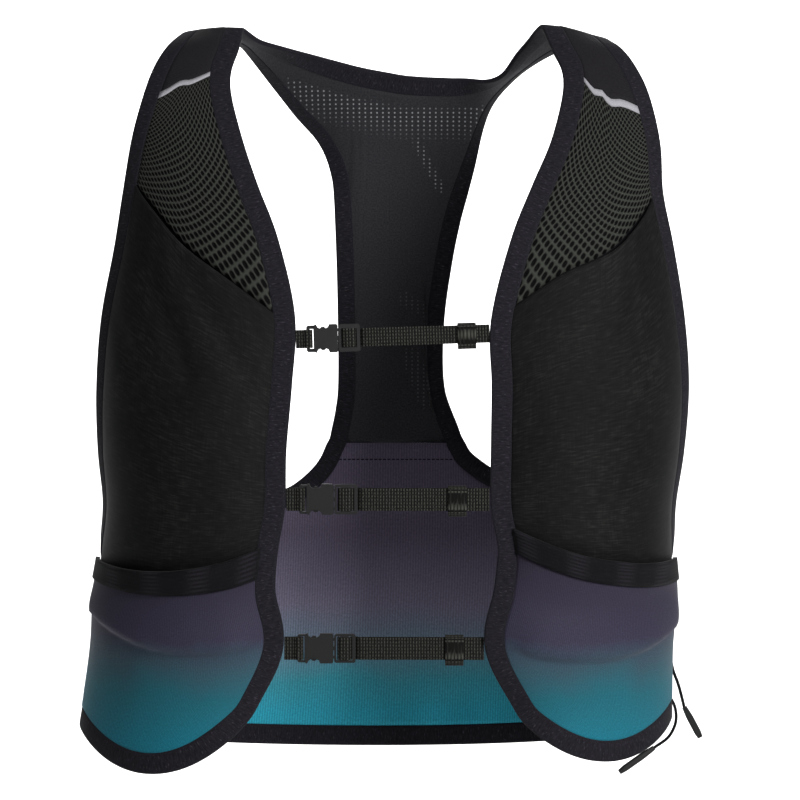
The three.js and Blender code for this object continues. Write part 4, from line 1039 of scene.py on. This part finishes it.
def wrinkle(u, v):
    """Soft upright wrinkles where the waist is drawn in, deeper towards the hem."""
    folds = math.sin(61 * u + 2.2 * v) * math.sin(23 * u + 1) + 0.6 * math.sin(97 * u - 1.5 * v + 2)
    return WRINKLE * folds * smooth((v - 0.15) / 0.5) * smooth((1 - v) / 0.1) * smooth(min(u, 1 - u) / 0.1)


bm = cloth_grid(BACK_COLUMNS_DRAWN, BACK_ROWS_DRAWN, back_point)
lay_uv(bm, BACK_WIDE, BACK_LONG)
mark_dye(bm)
face_outwards(bm, from_middle)
for vert in bm.verts:
    column, row = vert.index % (BACK_COLUMNS_DRAWN + 1), vert.index // (BACK_COLUMNS_DRAWN + 1)
    vert.co += vert.normal * wrinkle(column / BACK_COLUMNS_DRAWN, row / BACK_ROWS_DRAWN)
thicken(finished("waist_back", bm, BACK_KNIT, ["back_lower_panel"]), BACK_CLOTH)


# %% [markdown]
# ## Binding tapes
# A knit tape is folded round every raw edge. Its section is a flat loop with soft folded edges; the loop is
# carried along the edge of the cloth, standing a little proud of what it binds and covering the seam.

# %% Lines that the tapes follow
TAPE_STEP = 2.0 * MM
TAPE_OVERLAP = 1.2 * MM  # how far a tape lies over the cloth's edge
FRONT_STACK = BOTTLE_BASE + FRONT_CLOTH
LOWER_STACK = LOWER_BASE + FRONT_CLOTH


def front_stack(s):
    return mix(FRONT_STACK, LOWER_STACK, smooth((s - SEAM_ROW + 1) / 2))


def normal_of(point, a, b, side):
    near = 1e-3
    along = point(a + near, b) - point(a - near, b)
    over = point(a, b + near) - point(a, b - near)
    return (along.cross(over) * side).normalized()


def front_edge(front, rows, across):
    return [(front.point(s, across), normal_of(front.point, min(s, HEM_ROW - 2e-3), across, front.side),
             front_stack(s)) for s in rows]


def front_hem(front, places):
    row = HEM_ROW - 2e-3
    normals = [normal_of(front.point, row, a, front.side) for a in places]
    return [(front.point(HEM_ROW, a), normal, LOWER_STACK) for a, normal in zip(places, normals)]


def inside(t):
    return clamp(t, 2e-3, 1 - 2e-3)


def yoke_edge(places, v):
    made = []
    for u in places:
        on_spine = v * smooth((u - 0.25) / 0.05) * smooth((0.75 - u) / 0.05)
        normal = normal_of(yoke_point, inside(u), inside(v), 1).lerp(Vector((0, 1, 0)), on_spine)
        made.append((yoke_sheet(u, v), normal.normalized(), YOKE_CLOTH))
    return made


def back_edge(places, v):
    return [(back_point(u, v), normal_of(back_point, inside(u), inside(v), 1), BACK_CLOTH) for u in places]


def even(samples, step):
    """The closed line of samples, cut again into equal steps."""
    points = samples + samples[:1]
    lengths = [0.0]
    for a, b in zip(points, points[1:]):
        lengths.append(lengths[-1] + (b[0] - a[0]).length)
    count = round(lengths[-1] / step)
    made = []
    k = 0
    for i in range(count):
        at = lengths[-1] * i / count
        while lengths[k + 1] < at:
            k += 1
        t = (at - lengths[k]) / max(lengths[k + 1] - lengths[k], 1e-9)
        a, b = points[k], points[k + 1]
        made.append((a[0].lerp(b[0], t), a[1].lerp(b[1], t), mix(a[2], b[2], t)))
    return made


def eased(values, passes):
    for _ in range(passes):
        count = len(values)
        values = [values[i] * 0.5 + (values[i - 1] + values[(i + 1) % count]) * 0.25 for i in range(count)]
    return values


# %% Tape maker
TAPE_RING = 20
TAPE_CORNER = 0.35
SPOT_PASSES = 4
NORMAL_PASSES = 24


def squarish(a, corner):
    """A point of a rounded rectangle, two units wide and high, a of the way round it."""
    x, y = math.cos(2 * math.pi * a), math.sin(2 * math.pi * a)
    return math.copysign(abs(x) ** corner, x), math.copysign(abs(y) ** corner, y)


def tape(name, samples, width, away, material, nodes):
    line = even(samples, TAPE_STEP)
    count = len(line)
    spots = eased([s[0] for s in line], SPOT_PASSES)
    normals = [n.normalized() for n in eased([s[1] for s in line], NORMAL_PASSES)]
    stacks = eased([s[2] for s in line], NORMAL_PASSES)
    along = [(spots[(i + 1) % count] - spots[i - 1]).normalized() for i in range(count)]
    out = [n.normalized() for n in eased([along[i].cross(normals[i]) for i in range(count)], NORMAL_PASSES)]
    side = 1 if out[0].dot(away) > 0 else -1
    far = TAPE_GAP + width

    def place(a, t):
        i = round(t * count) % count
        x, y = squarish(a, TAPE_CORNER)
        sideways = (far - TAPE_OVERLAP) / 2 + (far + TAPE_OVERLAP) / 2 * x
        half_high = stacks[i] / 2 + TAPE_STAND
        return spots[i] + out[i] * (side * sideways) + normals[i] * (stacks[i] / 2 + half_high * y)

    bm = cloth_grid(TAPE_RING, count, place)
    lay_uv(bm, 2 * far, count * TAPE_STEP)
    bmesh.ops.remove_doubles(bm, verts=bm.verts[:], dist=1e-6)
    bmesh.ops.recalc_face_normals(bm, faces=bm.faces[:])
    return finished(name, bm, material, nodes)


FINE = steps(0, 1, 120)
FRONT_ROWS = steps(0, HEM_ROW, 160)
ARM_ROWS = steps(0, SEAM_ROW, 130)
edge = yoke_edge(FINE, 0) + front_edge(FRONTS["l"], FRONT_ROWS[1:], 0) + front_hem(FRONTS["l"], FINE[1:])
edge += back_edge(FINE[::-1][1:-1], 1) + front_hem(FRONTS["r"], FINE[::-1])
edge += front_edge(FRONTS["r"], FRONT_ROWS[::-1][1:-1], 0)
tape("edge_tape", edge, EDGE_TAPE_WIDTH, Vector((1, 0, 0)), TAPE, ["edge_binding"])
ARM_TAPES = {
    "r": (steps(0, BACK_SPINE_R, 80), steps(SPINE_R, 0, 120)),
    "l": (steps(1, BACK_SPINE_L, 80), steps(SPINE_L, 1, 120)),
}
for key, (on_back, on_yoke) in ARM_TAPES.items():
    line = front_edge(FRONTS[key], ARM_ROWS, 1) + back_edge(on_back[1:], 0) + yoke_edge(on_yoke[1:-1], 1)
    away = Vector((FRONTS[key].side, 0, 0))
    tape("armhole_tape_" + key, line, ARM_TAPE_WIDTH, away, TAPE, ["armhole_binding_" + key])
print("tapes made")


# %% [markdown]
# ## Chest straps
# Three adjustable straps close the chest. Each is laid out in its own frame, x from the wearer's right to
# the left, y towards the body and z up: a short doubled tab holds the receiving half of a side-release
# buckle, and the webbing goes through the two slots of the other half, then on to the left front with a
# keeper on it.

# %% Sizes and frames of the straps
FREE = 0.4 * MM
BAR = 2.2 * MM
SLOT = 2.4 * MM
FRAME_THICK = 3 * MM
BUCKLE_JOINT = 0.6 * MM
MALE_WALL = 1.4 * MM
LAYERS_APART = 0.9 * MM
BEND = 2 * MM
THROUGH = 1.2 * MM
PAST_BAR = 0.2 * MM
OVER = FRAME_THICK / 2 + FREE + WEBBING / 2
STRAP_COLUMNS = ["rowR", "rowL", "width", "tab", "female", "male", "high", "keeperAt", "keeper", "gap"]
STRAPS = {
    "upper": [7.31, 7.18, 12, 7, 20.5, 14, 18.5, 9, 12, -0.1],
    "middle": [9.86, 9.84, 15, 8.2, 22.5, 15, 20, 15, 12, 0.5],
    "lower": [13.0, 13.0, 15, 8.6, 23.5, 14, 19.5, 13.5, 12, 0.6],
}


def beside_tape(front, row):
    near = 1e-3
    normal = normal_of(front.point, row, 0, front.side)
    down = (front.point(row + near, 0) - front.point(row - near, 0)).normalized()
    out = down.cross(normal).normalized()
    far = TAPE_GAP + EDGE_TAPE_WIDTH
    side = -math.copysign(1, out.x * front.side)
    return front.point(row, 0) + out * (far * side) + normal * (FRONT_STACK / 2)


class Strap:
    def __init__(self, row):
        for key, value in zip(STRAP_COLUMNS, row):
            setattr(self, key, value if key.startswith("row") else value * MM)
        right = beside_tape(FRONTS["r"], self.rowR)
        left = beside_tape(FRONTS["l"], self.rowL)
        self.along = (left - right).normalized()
        self.start = right + self.along * self.gap
        self.length = (left - right).length - 2 * self.gap
        self.up = (Vector((0, 0, 1)) - self.along * self.along.z).normalized()
        self.into = self.up.cross(self.along)

    def at(self, x, y, z):
        return self.start + self.along * x + self.into * y + self.up * z


# %% Webbing and keepers
WEB_CELL = 0.6 * MM
KEEPER_WALL = 1.1 * MM
KEEPER_CORNER = 0.3
KEEPER_BULGE = 0.5 * MM
KEEPER_SLACK = 2.2 * MM  # the elastic loop sags below the webbing


def rounded_path(points, reach):
    """The line of points with each corner cut to a short curve, so that webbing bends round a bar."""
    made = [points[0]]
    for before, corner, after in zip(points, points[1:], points[2:]):
        into = (corner - before)
        out = (after - corner)
        a = corner - into.normalized() * min(reach, into.length * 0.45)
        b = corner + out.normalized() * min(reach, out.length * 0.45)
        for t in steps(0, 1, 4):
            made.append(a.lerp(corner, t).lerp(corner.lerp(b, t), t))
    made.append(points[-1])
    return made


def webbing(name, strap, points, nodes):
    path = rounded_path([Vector((x, y)) for x, y in points], 1.2 * MM)
    lengths = [0.0]
    for a, b in zip(path, path[1:]):
        lengths.append(lengths[-1] + (b - a).length)
    total = lengths[-1]

    def along(d):
        k = 0
        while k < len(path) - 2 and lengths[k + 1] < d:
            k += 1
        t = (d - lengths[k]) / max(lengths[k + 1] - lengths[k], 1e-9)
        return path[k].lerp(path[k + 1], t)

    def place(a, t):
        spot = along(clamp(a, 0, 1) * total)
        return strap.at(spot.x, spot.y, strap.width * (t - 0.5))

    bm = cloth_grid(max(round(total / WEB_CELL), 8), 8, place)
    lay_uv(bm, total, strap.width)
    soften_rims(thicken(finished(name, bm, STRAP, nodes), WEBBING, 0))


def keeper(name, strap, nodes):
    hole = WEBBING / 2 + FREE
    high = strap.width / 2 + FREE + KEEPER_WALL / 2
    deep = hole + KEEPER_WALL / 2
    start = strap.length - strap.keeperAt - strap.keeper

    def place(a, t):
        y, z = squarish(a, KEEPER_CORNER)
        bulge = KEEPER_BULGE * math.sin(math.pi * t)
        slack = KEEPER_SLACK * (1 - z) / 2
        return strap.at(start + strap.keeper * t, y * (deep + bulge), z * high - slack)

    bm = cloth_grid(48, 12, place)
    lay_uv(bm, 4 * high, strap.keeper)
    bmesh.ops.remove_doubles(bm, verts=bm.verts[:], dist=1e-6)
    bmesh.ops.recalc_face_normals(bm, faces=bm.faces[:])
    thicken(finished(name, bm, STRAP, nodes), KEEPER_WALL, 0)


for name, row in STRAPS.items():
    strap = Strap(row)
    tab_bar = strap.tab + BAR
    turn_at = tab_bar + SLOT / 2
    bend_at = strap.tab - BEND
    webbing(name + "_tab", strap, [
        (0, -LAYERS_APART), (bend_at, -LAYERS_APART), (strap.tab - PAST_BAR, -OVER), (tab_bar, -OVER),
        (turn_at, -THROUGH), (turn_at, THROUGH), (tab_bar, OVER), (strap.tab - PAST_BAR, OVER),
        (bend_at, LAYERS_APART), (0, LAYERS_APART),
    ], [name + "_strap_tab"])
    male_end = strap.tab + strap.female + BUCKLE_JOINT + strap.male
    slot_two = male_end - BAR - SLOT
    slot_one = male_end - strap.male + MALE_WALL
    two_at = slot_two + SLOT / 2
    one_at = slot_one + SLOT / 2
    webbing(name + "_webbing", strap, [
        (strap.length, 0), (male_end + BEND, 0), (male_end + PAST_BAR, OVER), (male_end - BAR, OVER),
        (two_at, THROUGH), (two_at, -THROUGH), (slot_two, -OVER), (slot_one + SLOT, -OVER),
        (one_at, -THROUGH), (one_at, OVER + WEBBING / 2),
    ], [name + "_strap"])
    keeper(name + "_keeper", strap, [name + "_strap_keeper"])
    print(name, "strap is", round(strap.length / MM), "mm long")

# %% Buckles
for name in STRAPS:
    for half in ("_buckle_female", "_buckle_male"):
        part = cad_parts[name + half]
        part.data.materials.clear()
        part.data.materials.append(ACETAL)
        soften_rims(part)

# %% [markdown]
# ## Pull cords
# Two short braided cords hang at the left hem, each in a moulded pull.

# %% Cords and pulls
CORD_LIFT = BACK_CLOTH + CORD_GAP + CORD_DIAMETER / 2
CORD_TUCK = 1.4 * MM  # the cord's end goes this far into its pull
PULL_CORDS = {
    "side": {
        "from": [0.98, 0.66],
        "cord": [[0.972, 0.075, 0.884], [0.99, 0.05, 0.905], [1.007, 0.02, 0.933]],
    },
    "hem": {
        "from": [0.94, 0.87],
        "cord": [[0.99, 0.23, 0.945], [0.972, 0.2, 0.976], [0.915, 0.17, 0.994]],
    },
}


def cord_point(row):
    x, y, drop = row
    return Vector((x * HALF_WIDTH, y * HALF_DEPTH, -drop * VEST_HEIGHT))


for name, lines in PULL_CORDS.items():
    u, v = lines["from"]
    start = back_point(u, v) + normal_of(back_point, u, v, 1) * CORD_LIFT
    points = [start] + [cord_point(row) for row in lines["cord"]]
    points.append(points[-1] + (points[-1] - points[-2]).normalized() * CORD_TUCK)
    curve = bpy.data.curves.new(name + "_cord", "CURVE")
    curve.dimensions = "3D"
    curve.bevel_depth = CORD_DIAMETER / 2
    curve.bevel_resolution = 4
    curve.use_fill_caps = True
    spline = curve.splines.new("BEZIER")
    spline.bezier_points.add(len(points) - 1)
    for spot, p in zip(spline.bezier_points, points):
        spot.co = p
        spot.handle_left_type = "AUTO"
        spot.handle_right_type = "AUTO"
    cord = in_scene(name + "_cord", curve)
    curve.materials.append(CORD_BRAID)
    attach(cord, "root")
    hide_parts(name + "_pull_cord")
    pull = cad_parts[name + "_pull_end"]
    pull.data.materials.clear()
    pull.data.materials.append(RUBBER)
    long = run(points)
    print(name, "cord:", round(long / MM, 1), "mm")

# %% [markdown]
# ## Studio, light and camera
# A pale plain floor and wall, soft light from large lamps, and a camera level with the middle of the vest.

# %% Floor and backdrop
# One sheet of paper runs along the floor and bends up into the wall, so that no line shows behind the vest.
FLOOR_DROP = -1.4  # where a standing wearer's floor would be
FLOOR_FROM = -2.5
FLOOR_TO = 1.6
BEND_RADIUS = 0.8
WALL_HIGH = 3.5
PAPER_HALF = 4.0
PAPER_ROWS = 48
paper = new_material("matt studio paper")
mottle = noise(paper, node(paper, "ShaderNodeTexCoord").outputs["Object"], 3.0)
tone = ramp(paper, mottle, [(0.3, linear("eeeeee")), (0.7, linear("f2f2f2"))])
paper_shader = node(paper, "ShaderNodeBsdfPrincipled", {"Base Color": tone, "Roughness": 0.95})
node(paper, "ShaderNodeOutputMaterial", {"Surface": paper_shader.outputs["BSDF"]})


def paper_at(across, along):
    floor_long = FLOOR_TO - FLOOR_FROM
    bend_long = BEND_RADIUS * math.pi / 2
    gone = along * (floor_long + bend_long + WALL_HIGH)
    turned = clamp((gone - floor_long) / BEND_RADIUS, 0, math.pi / 2)
    up = max(gone - floor_long - bend_long, 0)
    y = FLOOR_FROM + min(gone, floor_long) + BEND_RADIUS * math.sin(turned)
    z = FLOOR_DROP + BEND_RADIUS * (1 - math.cos(turned)) + up
    return Vector((mix(-PAPER_HALF, PAPER_HALF, across), y, z))


bm = cloth_grid(1, PAPER_ROWS, paper_at)
mesh = bpy.data.meshes.new("backdrop")
for face in bm.faces:
    face.smooth = True
bm.to_mesh(mesh)
bm.free()
mesh.materials.append(paper)
in_scene("backdrop", mesh)
print("backdrop", len(mesh.polygons), "faces")

# %% Light
# The key lamp stands to the right of the camera, so the other front falls into shade as in the photo.
world = bpy.data.worlds.new("studio")
bpy.context.scene.world = world
world.use_nodes = True
world.node_tree.nodes["Background"].inputs["Color"].default_value = linear("f4f5f7")
world.node_tree.nodes["Background"].inputs["Strength"].default_value = 0.16


def lamp(name, place, size, power, target=(0, 0, -0.25)):
    data = bpy.data.lights.new(name, "AREA")
    data.size = size
    data.energy = power
    made = in_scene(name, data)
    made.location = place
    made.rotation_euler = (Vector(target) - Vector(place)).to_track_quat("-Z", "Y").to_euler()


lamp("key", (1.1, -1.75, 0.3), 0.8, 36)
lamp("top", (0.3, -0.8, 1.6), 1.2, 5)
lamp("wall lamp", (0, 1.0, 0.9), 1.6, 110, (0, 2.4, -0.1))
print("lamps:", len(bpy.data.lights))

# %% Camera
bpy.context.scene.view_settings.view_transform = "Standard"
CAMERA_AWAY = 2.0
camera_data = bpy.data.cameras.new("camera")
camera_data.lens = 130.8
camera_data.sensor_width = 36
camera = in_scene("camera", camera_data)
camera.location = (5.9 * MM, -CAMERA_AWAY, -256 * MM)
camera.rotation_euler = (math.pi / 2, 0, 0)
bpy.context.scene.camera = camera
